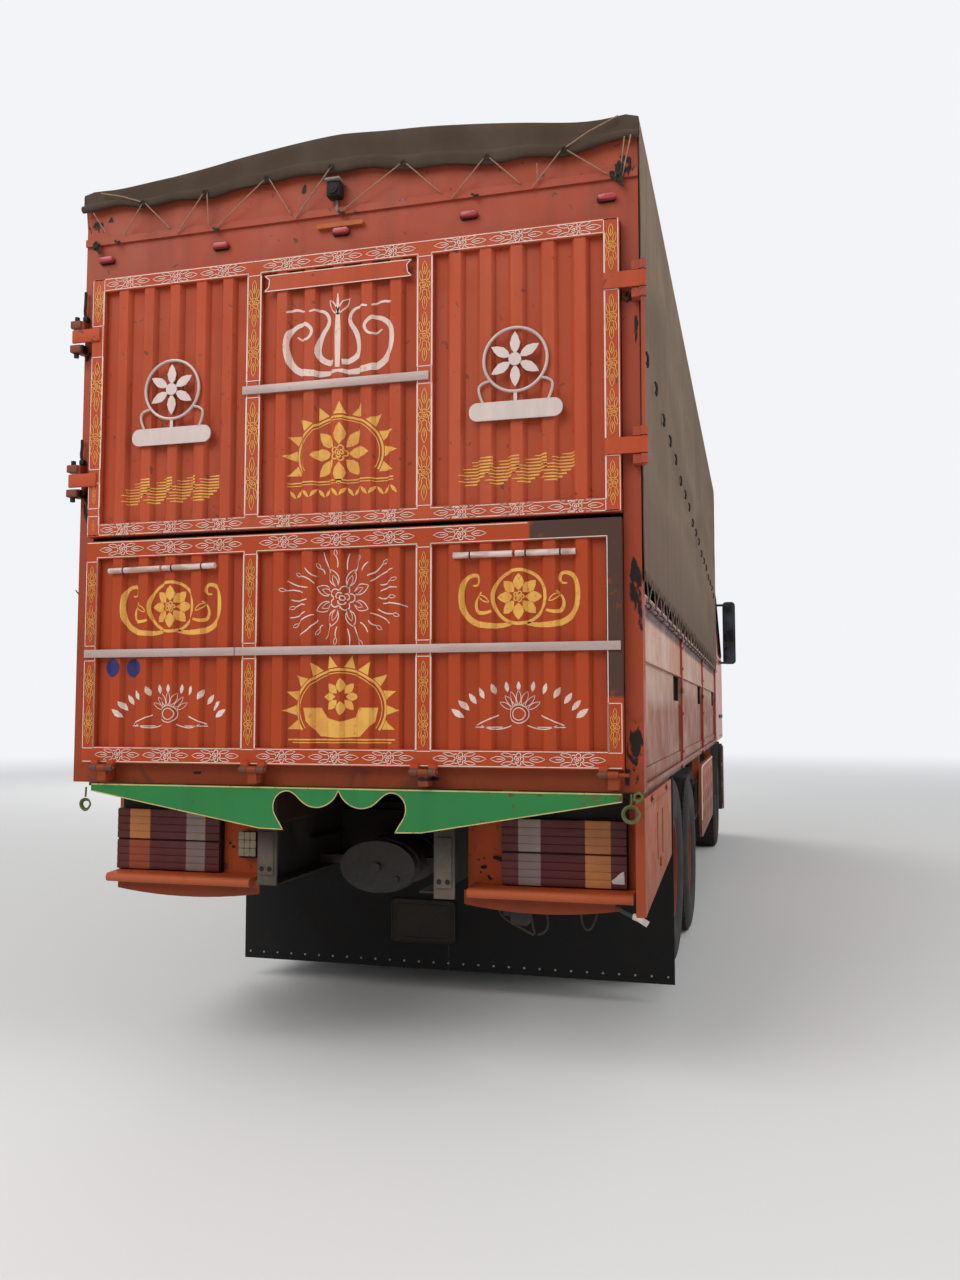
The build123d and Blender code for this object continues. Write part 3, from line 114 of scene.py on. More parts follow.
class Finish:
    """A material made of named steps; its patterns read the object's own coordinates."""

    def __init__(self, name, colour, roughness, metallic=0.0, gloss=0.28):
        self.material = bpy.data.materials.new(name)
        self.material.use_nodes = True
        self.tree = self.material.node_tree
        self.shader = self.tree.nodes["Principled BSDF"]
        self.shader.inputs["Base Color"].default_value = (*colour, 1)
        self.shader.inputs["Roughness"].default_value = roughness
        self.shader.inputs["Metallic"].default_value = metallic
        self.shader.inputs["Specular IOR Level"].default_value = gloss
        self.places = self.tree.nodes.new("ShaderNodeTexCoord")

    def mapped(self, stretch):
        """Object coordinates, stretched along each axis."""
        mapping = self.tree.nodes.new("ShaderNodeMapping")
        mapping.inputs["Scale"].default_value = stretch
        self.tree.links.new(self.places.outputs["Object"], mapping.inputs["Vector"])
        return mapping.outputs[0]

    def cloud(self, scale, stretch=(1, 1, 1), detail=5.0, distortion=0.0):
        """Cloudy pattern from 0 to 1."""
        pattern = self.tree.nodes.new("ShaderNodeTexNoise")
        pattern.inputs["Scale"].default_value = scale
        pattern.inputs["Detail"].default_value = detail
        pattern.inputs["Distortion"].default_value = distortion
        self.tree.links.new(self.mapped(stretch), pattern.inputs["Vector"])
        return pattern.outputs["Fac"]

    def bands(self, scale, direction, distortion=0.0):
        """Even bands along one axis."""
        pattern = self.tree.nodes.new("ShaderNodeTexWave")
        pattern.bands_direction = direction
        pattern.inputs["Scale"].default_value = scale
        pattern.inputs["Distortion"].default_value = distortion
        self.tree.links.new(self.mapped((1, 1, 1)), pattern.inputs["Vector"])
        return pattern.outputs["Fac"]

    def axis(self, letter):
        """One of the object's coordinates, in metres."""
        parts = self.tree.nodes.new("ShaderNodeSeparateXYZ")
        self.tree.links.new(self.places.outputs["Object"], parts.inputs[0])
        return parts.outputs[letter]

    def near(self, x, z, reach_x, reach_z):
        """1 at a place on the truck's back, falling to 0 at a reach from it."""
        mapping = self.tree.nodes.new("ShaderNodeMapping")
        mapping.inputs["Scale"].default_value = (1 / reach_x, 0, 1 / reach_z)
        mapping.inputs["Location"].default_value = (-x / reach_x, 0, -z / reach_z)
        self.tree.links.new(self.places.outputs["Object"], mapping.inputs["Vector"])
        return self.ramp(self.length(mapping.outputs[0]), 0.35, 1.0, 1, 0)

    def between(self, value, low, high, soft=0.0015):
        """1 where a value lies between two others."""
        rising = self.ramp(value, low - soft, low + soft)
        return self.both(rising, self.ramp(value, high - soft, high + soft, 1, 0))

    def length(self, vector):
        """Length of a vector, such as a distance from the origin."""
        step = self.tree.nodes.new("ShaderNodeVectorMath")
        step.operation = "LENGTH"
        self.tree.links.new(vector, step.inputs[0])
        return step.outputs["Value"]

    def ramp(self, value, low, high, to_low=0.0, to_high=1.0):
        """Value taken from one range to another, and held at its ends."""
        span = self.tree.nodes.new("ShaderNodeMapRange")
        for socket, number in zip(span.inputs[1:5], (low, high, to_low, to_high)):
            socket.default_value = number
        self.tree.links.new(value, span.inputs[0])
        return span.outputs[0]

    def sum(self, operation, first, second):
        """Sum, product or another operation of two values."""
        step = self.tree.nodes.new("ShaderNodeMath")
        step.operation = operation
        for socket, value in zip(step.inputs, (first, second)):
            if isinstance(value, (int, float)):
                socket.default_value = value
            else:
                self.tree.links.new(value, socket)
        return step.outputs[0]

    def both(self, first, *others):
        """Product of masks: where all of them are 1."""
        for other in others:
            first = self.sum("MULTIPLY", first, other)
        return first

    def either(self, first, *others):
        """Largest of masks: where any of them is 1."""
        for other in others:
            first = self.sum("MAXIMUM", first, other)
        return first

    def mix(self, factor, first, second):
        """Colour between two, each a colour or an earlier step."""
        step = self.tree.nodes.new("ShaderNodeMix")
        step.data_type = "RGBA"
        for place, value in ((0, factor), (6, first), (7, second)):
            if isinstance(value, tuple):
                step.inputs[place].default_value = (*value, 1)
            else:
                self.tree.links.new(value, step.inputs[place])
        return step.outputs[2]

    def to(self, socket, value):
        """Joins a step to one of the shader's sockets."""
        self.tree.links.new(value, self.shader.inputs[socket])
        return self

    def clouded(self, scale, dark, light, stretch=(1, 1, 1), detail=5.0):
        """Makes the colour a cloud between two."""
        return self.to("Base Color", self.mix(self.cloud(scale, stretch, detail), dark, light))

    def bump(self, height, strength, distance):
        """Small relief, over the relief that is there."""
        relief = self.tree.nodes.new("ShaderNodeBump")
        relief.inputs["Strength"].default_value = strength
        relief.inputs["Distance"].default_value = distance
        self.tree.links.new(height, relief.inputs["Height"])
        normal = self.shader.inputs["Normal"]
        if normal.is_linked:
            self.tree.links.new(normal.links[0].from_socket, relief.inputs["Normal"])
        self.tree.links.new(relief.outputs[0], normal)
        return self


# The floor fades into the pale background far from the truck
FLOOR_HALF, FADE_NEAR, FADE_FAR = 60.0, 7.0, 34.0
floor_mesh = bmesh.new()
bmesh.ops.create_grid(floor_mesh, x_segments=1, y_segments=1, size=FLOOR_HALF)
floor_data = bpy.data.meshes.new("floor")
floor_mesh.to_mesh(floor_data)
floor_mesh.free()
floor = bpy.data.objects.new("floor", floor_data)
bpy.context.scene.collection.objects.link(floor)
pale = Finish("pale_floor", (0.74, 0.73, 0.71), 0.9, gloss=0.5)
fade = pale.ramp(pale.length(pale.places.outputs["Object"]), FADE_NEAR, FADE_FAR)
fade.node.interpolation_type = "SMOOTHSTEP"
haze = pale.tree.nodes.new("ShaderNodeEmission")
haze.inputs["Color"].default_value = SKY_COLOUR
haze.inputs["Strength"].default_value = SKY_SEEN
faded = mixed(pale.tree, fade, pale.shader, haze)
surface = seen_only(pale.tree, faded, pale.shader)
pale.tree.links.new(surface.outputs[0], pale.tree.nodes["Material Output"].inputs["Surface"])
floor_data.materials.append(pale.material)


# Tarpaulin: one heavy waxed cotton cover over roof, sides and front, drawn tight on the bows.
# Its cloth is brown canvas with sewn seams; a lip at its rear edge hangs over the header.
def placed(name, mesh, finish, body, smooth_angle=35):
    """Makes a mesh a piece of the truck, which rides on a body."""
    data = mesh
    if isinstance(mesh, bmesh.types.BMesh):
        data = bpy.data.meshes.new(name)
        mesh.to_mesh(data)
        mesh.free()
    piece = bpy.data.objects.new(name, data)
    bpy.context.scene.collection.objects.link(piece)
    data.materials.clear()
    data.materials.append(finish.material)
    data.shade_smooth()
    data.set_sharp_from_angle(angle=math.radians(smooth_angle))
    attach(piece, body)
    return piece


TARP_LOW, TARP_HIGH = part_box("tarpaulin")
TARP_HALF, TARP_RIDGE, TARP_CORNER = TARP_HIGH[0], TARP_HIGH[2], 3.895
TARP_REAR, TARP_FRONT = TARP_LOW[1] + 0.004, TARP_HIGH[1] - 0.004
# Rear face of the steel frame, from which places along the truck are counted
REAR = TARP_LOW[1] + 0.014
BOW_YS = [REAR + step for step in (0.0, 1.18, 2.20, 3.40, 4.59, 5.83, 7.07, 7.32)]
LOOPS, LOOP_PITCH, CLOTH_HEM = 24, 0.30, 2.035
SIDE_DROP = TARP_CORNER - CLOTH_HEM
ROOF_SLOPE = math.hypot(TARP_HALF, TARP_RIDGE - TARP_CORNER)
CLOTH_THICK = 0.003
# Right half of the arched roof over the bows: x and height
ARCH = ((0.0, TARP_RIDGE), (0.355, 3.975), (0.70, 3.932), (1.0, 3.899), (TARP_HALF, TARP_CORNER))
# Rear edge of the roof, where the cloth has stretched and lifted at its right corner: x and height
REAR_EDGE = (
    (-TARP_HALF, 3.881), (-1.235, 3.895), (-1.073, 3.895), (-0.865, 3.911), (-0.662, 3.932), (-0.523, 3.951),
    (-0.366, 3.970), (-0.212, 3.985), (-0.098, 3.993), (0.0, 3.997), (0.199, 3.983), (0.344, 3.976),
    (0.469, 3.966), (0.730, 3.937), (0.966, 3.903), (1.082, 3.892), (1.164, 3.897), (1.225, 3.900),
    (TARP_HALF, 3.882),
)
# Hem of the rear lip, low at every eyelet and arched between them: x and height
LIP_HEM = (
    (-TARP_HALF, 3.790), (-1.207, 3.792), (-1.060, 3.803), (-0.934, 3.776), (-0.781, 3.790), (-0.622, 3.777),
    (-0.472, 3.802), (-0.333, 3.808), (-0.184, 3.824), (-0.035, 3.812), (0.124, 3.818), (0.288, 3.784),
    (0.465, 3.782), (0.644, 3.756), (0.801, 3.768), (0.960, 3.746), (1.100, 3.776), (1.229, 3.790),
    (TARP_HALF, 3.786),
)


def along(rows, x):
    """Height of a line through rows of x and height, rounded at its corners."""
    x = max(rows[0][0], min(rows[-1][0], x))
    for k, ((left_x, left_z), (right_x, right_z)) in enumerate(zip(rows, rows[1:])):
        if x <= right_x:
            before = rows[k - 1] if k else rows[0]
            after = rows[k + 2] if k + 2 < len(rows) else rows[-1]
            part = (x - left_x) / (right_x - left_x)
            span = right_x - left_x
            rise_left = (right_z - before[1]) / max(right_x - before[0], 0.01) * span
            rise_right = (after[1] - left_z) / max(after[0] - left_x, 0.01) * span
            square, cube = part * part, part * part * part
            return (
                left_z * (2 * cube - 3 * square + 1) + rise_left * (cube - 2 * square + part)
                + right_z * (3 * square - 2 * cube) + rise_right * (cube - square)
            )
    return rows[-1][1]


def roof_height(x, y=1e3):
    """Height of the stretched roof; near the rear it eases into the line of its rear edge."""
    for (near_x, near_z), (far_x, far_z) in zip(ARCH, ARCH[1:]):
        if abs(x) <= far_x + 0.001:
            height = near_z + (far_z - near_z) * (abs(x) - near_x) / (far_x - near_x)
            break
    ease = max(0.0, 1 - (y - TARP_REAR) / 1.0)
    return height + (along(REAR_EDGE, x) - height) * ease * ease


def bow_sag(y):
    """0 over a roof bow and 1 midway between two."""
    for near, far in zip(BOW_YS, BOW_YS[1:]):
        if y <= far:
            return math.sin(math.pi * max(0.0, (y - near) / (far - near)))
    return 0.0


# The cover starts as a flat grid, whose width is bent down over both sides
cover = bmesh.new()
bmesh.ops.create_grid(cover, x_segments=190, y_segments=124, size=0.5)
width = 2 * (SIDE_DROP + ROOF_SLOPE)
for vert in cover.verts:
    y = TARP_REAR + (vert.co.x + 0.5) * (TARP_FRONT - TARP_REAR)
    across = vert.co.y * width
    side = -1 if across < 0 else 1
    drop = abs(across) - ROOF_SLOPE
    crease = noise.noise(Vector((across * 1.1, y * 0.8, 2.0)))
    crease += 0.4 * noise.noise(Vector((across * 4, y * 3.4, 5.0)))
    if drop > 0:
        up = 1 - drop / SIDE_DROP
        pull = math.exp(-up * 5) * math.cos(2 * math.pi * (y - REAR) / LOOP_PITCH)
        inward = 0.003 + 0.014 * bow_sag(y) * math.sin(math.pi * up) + 0.005 * abs(crease) - 0.003 * pull
        hem_wave = math.exp(-up * 7) * (0.012 * pull + 0.018 * (y - REAR) / 7.2 - 0.006)
        corner = roof_height(TARP_HALF * side, y)
        behind = 0.026 * min(drop / 0.20, 1) * max(0.0, 1 - (y - TARP_REAR) / 0.30) if side < 0 else 0
        height = corner - drop * (corner - CLOTH_HEM) / SIDE_DROP - hem_wave
        vert.co = (side * (TARP_HALF - inward), y + behind, height)
    else:
        x = side * TARP_HALF * (1 + drop / ROOF_SLOPE)
        sag = 0.018 * bow_sag(y) * min(-drop / 0.25, 1)
        vert.co = (x, y, roof_height(x, y) - CLOTH_THICK - sag - 0.004 * abs(crease))

# Its rear edge goes on as a lip over the header, and ends in a thick rolled hem.
# Each row of the lip: how far it stands out, and its share of the way down
LIP_ROWS = (
    (0.010, 0.05), (0.013, 0.22), (0.014, 0.42), (0.014, 0.62), (0.017, 0.66), (0.029, 0.70), (0.033, 0.80),
    (0.032, 0.91), (0.027, 0.98), (0.017, 1.0),
)
edge = [
    line for line in cover.edges
    if line.is_boundary
    and all(v.co.y < TARP_REAR + 0.001 and v.co.z > TARP_CORNER - 0.045 for v in line.verts)
]
for out, share in LIP_ROWS:
    grown = bmesh.ops.extrude_edge_only(cover, edges=edge)
    edge = [item for item in grown["geom"] if isinstance(item, bmesh.types.BMEdge)]
    for vert in {v for line in edge for v in line.verts}:
        x = max(-TARP_HALF, min(TARP_HALF, vert.co.x))
        top = roof_height(x, TARP_REAR) - CLOTH_THICK
        fold = 0.004 * noise.noise(Vector((x * 7, share * 3, 4.0)))
        vert.co = (x, TARP_REAR - out + fold, top - (top - along(LIP_HEM, x)) * share)

# The front is a second breadth of cloth, sewn on inside the cover's front edge
front = bmesh.ops.create_grid(cover, x_segments=48, y_segments=36, size=0.5)["verts"]
for vert in front:
    x = vert.co.x * 2 * (TARP_HALF - 0.008)
    top = roof_height(x) - 0.012
    bulge = 0.012 * math.sin(math.pi * (vert.co.y + 0.5)) * math.cos(math.pi * vert.co.x)
    z = CLOTH_HEM + (vert.co.y + 0.5) * (top - CLOTH_HEM)
    ripple = 0.003 * noise.noise(Vector((x * 2, z * 2, 8.0)))
    vert.co = (x, TARP_FRONT - 0.006 - bulge - ripple, z)
bmesh.ops.recalc_face_normals(cover, faces=cover.faces)

canvas = Finish("brown_canvas", (0.16, 0.115, 0.085), 0.9)
stains = canvas.ramp(canvas.cloud(1.1, (1, 0.5, 2.2), 8, 0.6), 0.35, 0.68)
dusty = canvas.mix(stains, (0.118, 0.077, 0.050), (0.208, 0.147, 0.101))
streaks = canvas.ramp(canvas.cloud(5, (1.0, 2.6, 0.35), 4), 0.42, 0.72)
dusty = canvas.mix(streaks, dusty, (0.146, 0.094, 0.062))
hem_height = canvas.sum("ADD", canvas.axis("Z"), canvas.both(streaks, 0.25))
hem_dirt = canvas.ramp(hem_height, 2.1, 2.75)
sides = canvas.mix(hem_dirt, (0.115, 0.071, 0.048), dusty)
rear_lip = canvas.ramp(canvas.axis("Y"), TARP_REAR + 0.02, TARP_REAR - 0.004)
shaded = canvas.mix(streaks, (0.052, 0.033, 0.021), (0.078, 0.052, 0.035))
canvas.to("Base Color", canvas.mix(rear_lip, sides, shaded))
canvas.bump(canvas.cloud(3.2, (1.0, 0.6, 1.4), 6, 0.4), 0.5, 0.02)
for direction in ("Y", "Z"):
    canvas.bump(canvas.bands(120, direction), 0.12, 0.001)
tarp = placed("tarpaulin_cover", cover, canvas, "chassis", 50)
thick = tarp.modifiers.new("thickness", "SOLIDIFY")
thick.thickness, thick.offset = CLOTH_THICK, -1
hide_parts("tarpaulin")


# Lacing: a thin tan rope drawn taut from the lip's eyelets to the header's ledge in pairs of lines,
# and a side rope from the hem down to hooks on the boards. They stay as they are tied.
def curve_mesh(name, rows, order, cyclic, tilt=0.0, **settings):
    """Mesh of curves through rows of points, each point a place and a radius."""
    line = bpy.data.curves.new(name, "CURVE")
    line.dimensions = "3D"
    for setting, value in settings.items():
        setattr(line, setting, value)
    for row in rows:
        spline = line.splines.new("NURBS")
        spline.points.add(len(row) - 1)
        for point, (*place, radius) in zip(spline.points, row):
            point.co = (*place, 1)
            point.radius = radius
            point.tilt = tilt
        spline.order_u = order
        spline.use_endpoint_u = not cyclic
        spline.use_cyclic_u = cyclic
    holder = bpy.data.objects.new(name, line)
    mesh = bpy.data.meshes.new_from_object(holder)
    bpy.data.objects.remove(holder)
    return mesh


def cord_mesh(name, paths, radius, rounding=2, order=2, cyclic=False):
    """Mesh of round cords through rows of points; an order of 3 makes them smooth."""
    rows = [[(*place, 1) for place in path] for path in paths]
    return curve_mesh(
        name, rows, order, cyclic, bevel_depth=radius, bevel_resolution=rounding, use_fill_caps=not cyclic,
    )


def corded(name, paths, radius, finish, rounding=1, order=3):
    """Makes round cords through rows of points a piece of the chassis."""
    return placed(name, cord_mesh(name, paths, radius, rounding, order), finish, "chassis")


def around(x, z, reach, turn, up=None):
    """Point of a circle at a turn, or of an oval with another reach upward."""
    return x + reach * math.cos(turn), z + (reach if up is None else up) * math.sin(turn)


def twisted(name, colour, scale, dark, light):
    """Twisted rope of a clouded colour."""
    strand = Finish(name, colour, 0.9).clouded(scale, dark, light, detail=3)
    return strand.bump(strand.bands(90, "DIAGONAL"), 0.6, 0.002)


ROPE_RADIUS = 0.0027
LIP_FACE, LEDGE_FACE = TARP_REAR - 0.039, REAR - 0.018
# Each line of the lacing, from the ledge up to an eyelet: foot x and height, eyelet x and height
LACING = (
    (-1.144, 3.692, -1.189, 3.776), (-1.048, 3.673, -0.940, 3.787), (-0.819, 3.675, -0.925, 3.787),
    (-0.781, 3.645, -0.636, 3.797), (-0.627, 3.668, -0.620, 3.797), (-0.601, 3.640, -0.345, 3.818),
    (-0.234, 3.665, -0.325, 3.822), (-0.216, 3.642, -0.037, 3.832), (-0.016, 3.638, 0.278, 3.806),
    (0.441, 3.672, 0.300, 3.800), (0.486, 3.641, 0.637, 3.782), (0.778, 3.667, 0.655, 3.776),
    (0.821, 3.638, 0.955, 3.770), (0.849, 3.662, 0.853, 3.725), (1.128, 3.660, 0.975, 3.762),
    (1.190, 3.642, 1.229, 3.790), (1.180, 3.640, 1.204, 3.786),
)
lines = [
    [(foot_x, LEDGE_FACE, foot_z), (eye_x, LIP_FACE, eye_z)] for foot_x, foot_z, eye_x, eye_z in LACING
]
lines += [
    [(-1.158, LIP_FACE + 0.010, 3.868), (-1.04, LIP_FACE, 3.833), (-0.935, LIP_FACE, 3.792)],
    [(0.965, LIP_FACE, 3.772), (1.06, LIP_FACE, 3.826), (1.178, LIP_FACE + 0.010, 3.880)],
]
rope = twisted("tan_rope", (0.34, 0.19, 0.12), 60, (0.24, 0.12, 0.075), (0.44, 0.26, 0.17))
corded("header_lacing", lines, ROPE_RADIUS, rope, 2, 2)

# A dark knot holds every pair of lines to the lip, and short loops hang at hooks on the ledge
EYELETS = (
    (-0.935, 3.790), (-0.628, 3.799), (-0.333, 3.821), (-0.036, 3.833), (0.288, 3.805), (0.645, 3.780),
    (0.963, 3.767),
)
knots = []
for x, z in EYELETS:
    knots.append([
        (x - 0.013, LIP_FACE - 0.002, z - 0.004), (x - 0.002, LIP_FACE - 0.007, z + 0.010),
        (x + 0.010, LIP_FACE - 0.002, z + 0.002), (x + 0.001, LIP_FACE - 0.004, z - 0.012),
    ])
for x in (-1.183, -1.079, -0.589, 0.002, 0.589, 1.162):
    knots.append([
        (x - 0.014, LEDGE_FACE - 0.002, 3.648), (x, LEDGE_FACE - 0.010, 3.632),
        (x + 0.014, LEDGE_FACE - 0.004, 3.640),
    ])

# The side rope runs along the hem and dips to a hook once in every pitch
side_paths = []
for side in (-1, 1):
    x = side * (TARP_HALF + 0.002)
    path = []
    for k in range(LOOPS):
        y = REAR + 0.15 + k * LOOP_PITCH
        path += [(x, y - 0.15, CLOTH_HEM + 0.035), (x - side * 0.004, y, CLOTH_HEM - 0.075)]
    side_paths.append([(px, min(py, TARP_FRONT - 0.02), pz) for px, py, pz in path])
dark_rope = twisted("old_rope", (0.20, 0.15, 0.11), 45, (0.09, 0.065, 0.05), (0.30, 0.23, 0.18))
corded("side_rope", side_paths, ROPE_RADIUS, dark_rope, 2, 2)

# Small tied bunches of rope ends at the header's corners, and knots along the cover's sides
for side, base, low, tail in ((-1, -1.184, 3.632, 0.012), (1, 1.178, 3.668, 0.045)):
    for k in range(4):
        y = REAR - 0.022 - 0.004 * k
        oval = [around(base, low, 0.014, k * 1.3 + turn, 0.012 + tail / 2) for turn in (0.0, 1.6, 3.1, 4.7)]
        loop = [(x, y, z) for x, z in oval]
        knots.append(loop + [(base + 0.010 * (k - 1.5), REAR - 0.024, low - tail - 0.008 * k)])
    x = side * (TARP_HALF - 0.002)
    for k in range(18):
        y = REAR + 0.18 + 0.385 * k
        z = 2.965 - 0.038 * (y - REAR) + 0.012 * math.sin(2.1 * k)
        knots.append([(x, y - 0.035, z + 0.022), (x + side * 0.010, y - 0.010, z), (x, y + 0.030, z - 0.020)])
        knots.append([(x, y - 0.012, z - 0.022), (x + side * 0.010, y, z + 0.006), (x, y + 0.012, z + 0.028)])
black_rope = twisted("black_rope", (0.020, 0.017, 0.015), 45, (0.013, 0.011, 0.010), (0.060, 0.045, 0.036))
corded("rope_knots", knots, 0.0052, black_rope)


# Rear frame and gates: pressed steel under orange enamel, faded, streaked by rain and chipped.
# The upper part has weathered to a duller red, and one member has been patched with primer.
# Marker lamps and a camera are screwed to the header, as small blocks, bars and plates.
def block(target, low, high, round_off=0.0):
    """Adds a block between two corners, its edges rounded."""
    low, high = Vector(low), Vector(high)
    size = high - low
    size = Vector(max(abs(part), 1e-5) for part in size)
    made = bmesh.ops.create_cube(target, size=1.0)["verts"]
    bmesh.ops.scale(target, vec=size, verts=made)
    bmesh.ops.translate(target, vec=(low + high) / 2, verts=made)
    if round_off:
        edges = list({e for v in made for e in v.link_edges})
        bmesh.ops.bevel(
            target, geom=edges, offset=round_off, offset_type="OFFSET", segments=2,
            profile=0.5, affect="EDGES", material=-1,
        )


def bar(target, start, end, radius, sides=12, end_radius=None):
    """Adds a round bar between two points."""
    start, end = Vector(start), Vector(end)
    turn = Vector((0, 0, 1)).rotation_difference(end - start).to_matrix().to_4x4()
    bmesh.ops.create_cone(
        target, cap_ends=True, segments=sides, radius1=radius,
        radius2=radius if end_radius is None else end_radius, depth=(end - start).length,
        matrix=Matrix.Translation((start + end) / 2) @ turn,
    )


def rounded(x, z, half_width, half_height, radius, steps=5):
    """Outline of a rectangle with round corners, about a middle."""
    corners = ((1, 1, 0), (-1, 1, 90), (-1, -1, 180), (1, -1, 270))
    return [
        around(
            x + across * (half_width - radius), z + up * (half_height - radius), radius,
            math.radians(first + 90 * k / steps),
        )
        for across, up, first in corners
        for k in range(steps + 1)
    ]


def drawn_out(target, outline, way):
    """Adds a flat outline, drawn out along one way into a solid."""
    face = target.faces.new([target.verts.new(place) for place in outline])
    grown = bmesh.ops.extrude_face_region(target, geom=[face])["geom"]
    moved = [item for item in grown if isinstance(item, bmesh.types.BMVert)]
    bmesh.ops.translate(target, vec=way, verts=moved)


def plate(target, shape, rear_y, front_y):
    """Adds a plate across the truck from an outline of x and z, between two places along it."""
    drawn_out(target, [(x, rear_y, z) for x, z in shape], (0, front_y - rear_y, 0))


def closed(target):
    """Turns all faces outward."""
    bmesh.ops.recalc_face_normals(target, faces=target.faces)
    return target


def enamel(name, fresh, faded, grime, streaking=0.5):
    """Old enamel on steel: its colour clouds, rain streaks, small chips, and a wavy pressed face."""
    paint = Finish(name, fresh, 0.55, gloss=0.14)
    fading = paint.ramp(paint.cloud(1.5, detail=7), 0.36, 0.66)
    colour = paint.mix(fading, fresh, faded)
    streaks = paint.ramp(paint.cloud(10, (1, 1, 0.10), 5), 0.5, 0.8, 0, streaking)
    colour = paint.mix(streaks, colour, grime)
    chips = paint.ramp(paint.cloud(26, detail=8, distortion=0.5), 0.665, 0.69, 0, 0.75)
    paint.colour = paint.mix(chips, colour, (0.085, 0.042, 0.028))
    paint.to("Base Color", paint.colour)
    paint.to("Roughness", paint.ramp(paint.cloud(7, detail=4), 0.3, 0.7, 0.42, 0.66))
    paint.bump(paint.cloud(2.6, (1, 1, 0.6), 3), 0.35, 0.012)
    paint.bump(chips, -0.3, 0.0006)
    return paint


def covered(finish, *nodes):
    """Gives CAD nodes a finish."""
    for node in nodes:
        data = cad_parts[node].data
        data.materials.clear()
        data.materials.append(finish.material)


PRIMER = (0.072, 0.036, 0.026)
GATE_FACE = REAR - 0.050
frame_paint = enamel(
    "rear_frame_enamel", (0.36, 0.068, 0.034), (0.325, 0.080, 0.046), (0.17, 0.046, 0.030), 0.6,
)
# The sill below the lower gate is painted darker, as the shadow that the gate casts on it
sill_shadow_part = frame_paint.ramp(frame_paint.axis("Z"), 1.30, 1.34)
post_part = frame_paint.ramp(frame_paint.axis("Z"), 1.9, 2.8)
post_red = frame_paint.mix(post_part, (0.31, 0.052, 0.022), frame_paint.colour)
sill_shadow_red = frame_paint.mix(sill_shadow_part, (0.25, 0.046, 0.015), post_red)
worn = frame_paint.ramp(frame_paint.cloud(4.2, (1, 1, 0.6), 7, 0.8), 0.57, 0.66, 0, 0.9)
low_wear = frame_paint.ramp(frame_paint.axis("Z"), 1.7, 2.5, 1, 0)
scuffs = frame_paint.both(worn, low_wear)
scuffed_with_sill_shadow = frame_paint.mix(scuffs, sill_shadow_red, (0.125, 0.034, 0.018))
# Greasy black smudges where ropes, hinges and loads have rubbed: x, height, and reach along each
SMUDGES = (
    (-1.200, 3.735, 0.060, 0.050), (-1.130, 3.755, 0.030, 0.025), (-0.180, 3.772, 0.018, 0.040),
    (1.200, 3.690, 0.055, 0.085), (1.170, 3.655, 0.060, 0.030), (1.205, 3.160, 0.065, 0.050),
    (1.235, 3.040, 0.014, 0.120), (1.228, 2.020, 0.045, 0.150), (1.240, 1.900, 0.020, 0.120),
    (1.215, 1.400, 0.050, 0.130), (1.200, 1.290, 0.060, 0.060), (-1.215, 2.480, 0.040, 0.160),
    (-1.225, 3.160, 0.030, 0.120), (0.400, 1.262, 0.060, 0.014), (-0.650, 1.270, 0.050, 0.012),
)
smudged = frame_paint.either(*(frame_paint.near(*place) for place in SMUDGES))
specks = frame_paint.cloud(34, (1, 1, 0.4), 8, 0.75)
broken = frame_paint.ramp(frame_paint.sum("ADD", frame_paint.both(smudged, 0.34), specks), 0.74, 0.82)
broken = frame_paint.both(broken, frame_paint.ramp(smudged, 0.02, 0.25))
frame_paint.to("Base Color", frame_paint.mix(broken, scuffed_with_sill_shadow, (0.016, 0.011, 0.009)))
covered(frame_paint, "rear_frame")

gate_paint = enamel("gate_enamel", (0.43, 0.064, 0.022), (0.45, 0.086, 0.036), (0.26, 0.046, 0.020), 0.5)
across, along_truck, height = (gate_paint.axis(letter) for letter in "XYZ")
lower_part = gate_paint.ramp(height, 2.26, 2.32, 1, 0)
warm = gate_paint.mix(lower_part, gate_paint.colour, (0.385, 0.053, 0.014))
streaks = gate_paint.ramp(gate_paint.cloud(12, (1, 1, 0.08), 5), 0.48, 0.8, 0, 0.45)
warm = gate_paint.mix(streaks, warm, (0.26, 0.050, 0.024))
# Painted shade: the sunk panels and the sides of their ribs are a little darker
inside = gate_paint.ramp(along_truck, GATE_FACE + 0.004, GATE_FACE + 0.024, 0, 0.25)
warm = gate_paint.mix(inside, warm, (0.26, 0.042, 0.020))
inner_face = gate_paint.ramp(along_truck, GATE_FACE + 0.036, GATE_FACE + 0.042)
rubbed = gate_paint.ramp(gate_paint.cloud(4, (1, 1, 0.25), 8, 0.5), 0.44, 0.70, 0, 0.8)
warm = gate_paint.mix(gate_paint.both(inner_face, rubbed), warm, (0.200, 0.098, 0.068))
# The patch of primer: the right end of the top member and most of the right stile, on the outer face
top_member = gate_paint.both(gate_paint.ramp(height, 2.196, 2.202), gate_paint.ramp(across, 0.812, 0.822))
stile = gate_paint.both(gate_paint.ramp(height, 1.578, 1.590), gate_paint.ramp(across, 1.112, 1.118))
patch = gate_paint.both(
    gate_paint.either(top_member, stile), gate_paint.ramp(height, 2.290, 2.296, 1, 0),
    gate_paint.sum("SUBTRACT", 1.0, inner_face),
)
ragged = gate_paint.both(patch, gate_paint.ramp(gate_paint.cloud(18, detail=6), 0.28, 0.36, 0.6, 1))
hinge_part = gate_paint.ramp(height, 1.303, 1.308, 0.85, 0)
warm = gate_paint.mix(hinge_part, warm, (0.085, 0.052, 0.040))
gate_paint.to("Base Color", gate_paint.mix(ragged, warm, PRIMER))
covered(gate_paint, "upper_gate", "lower_gate")
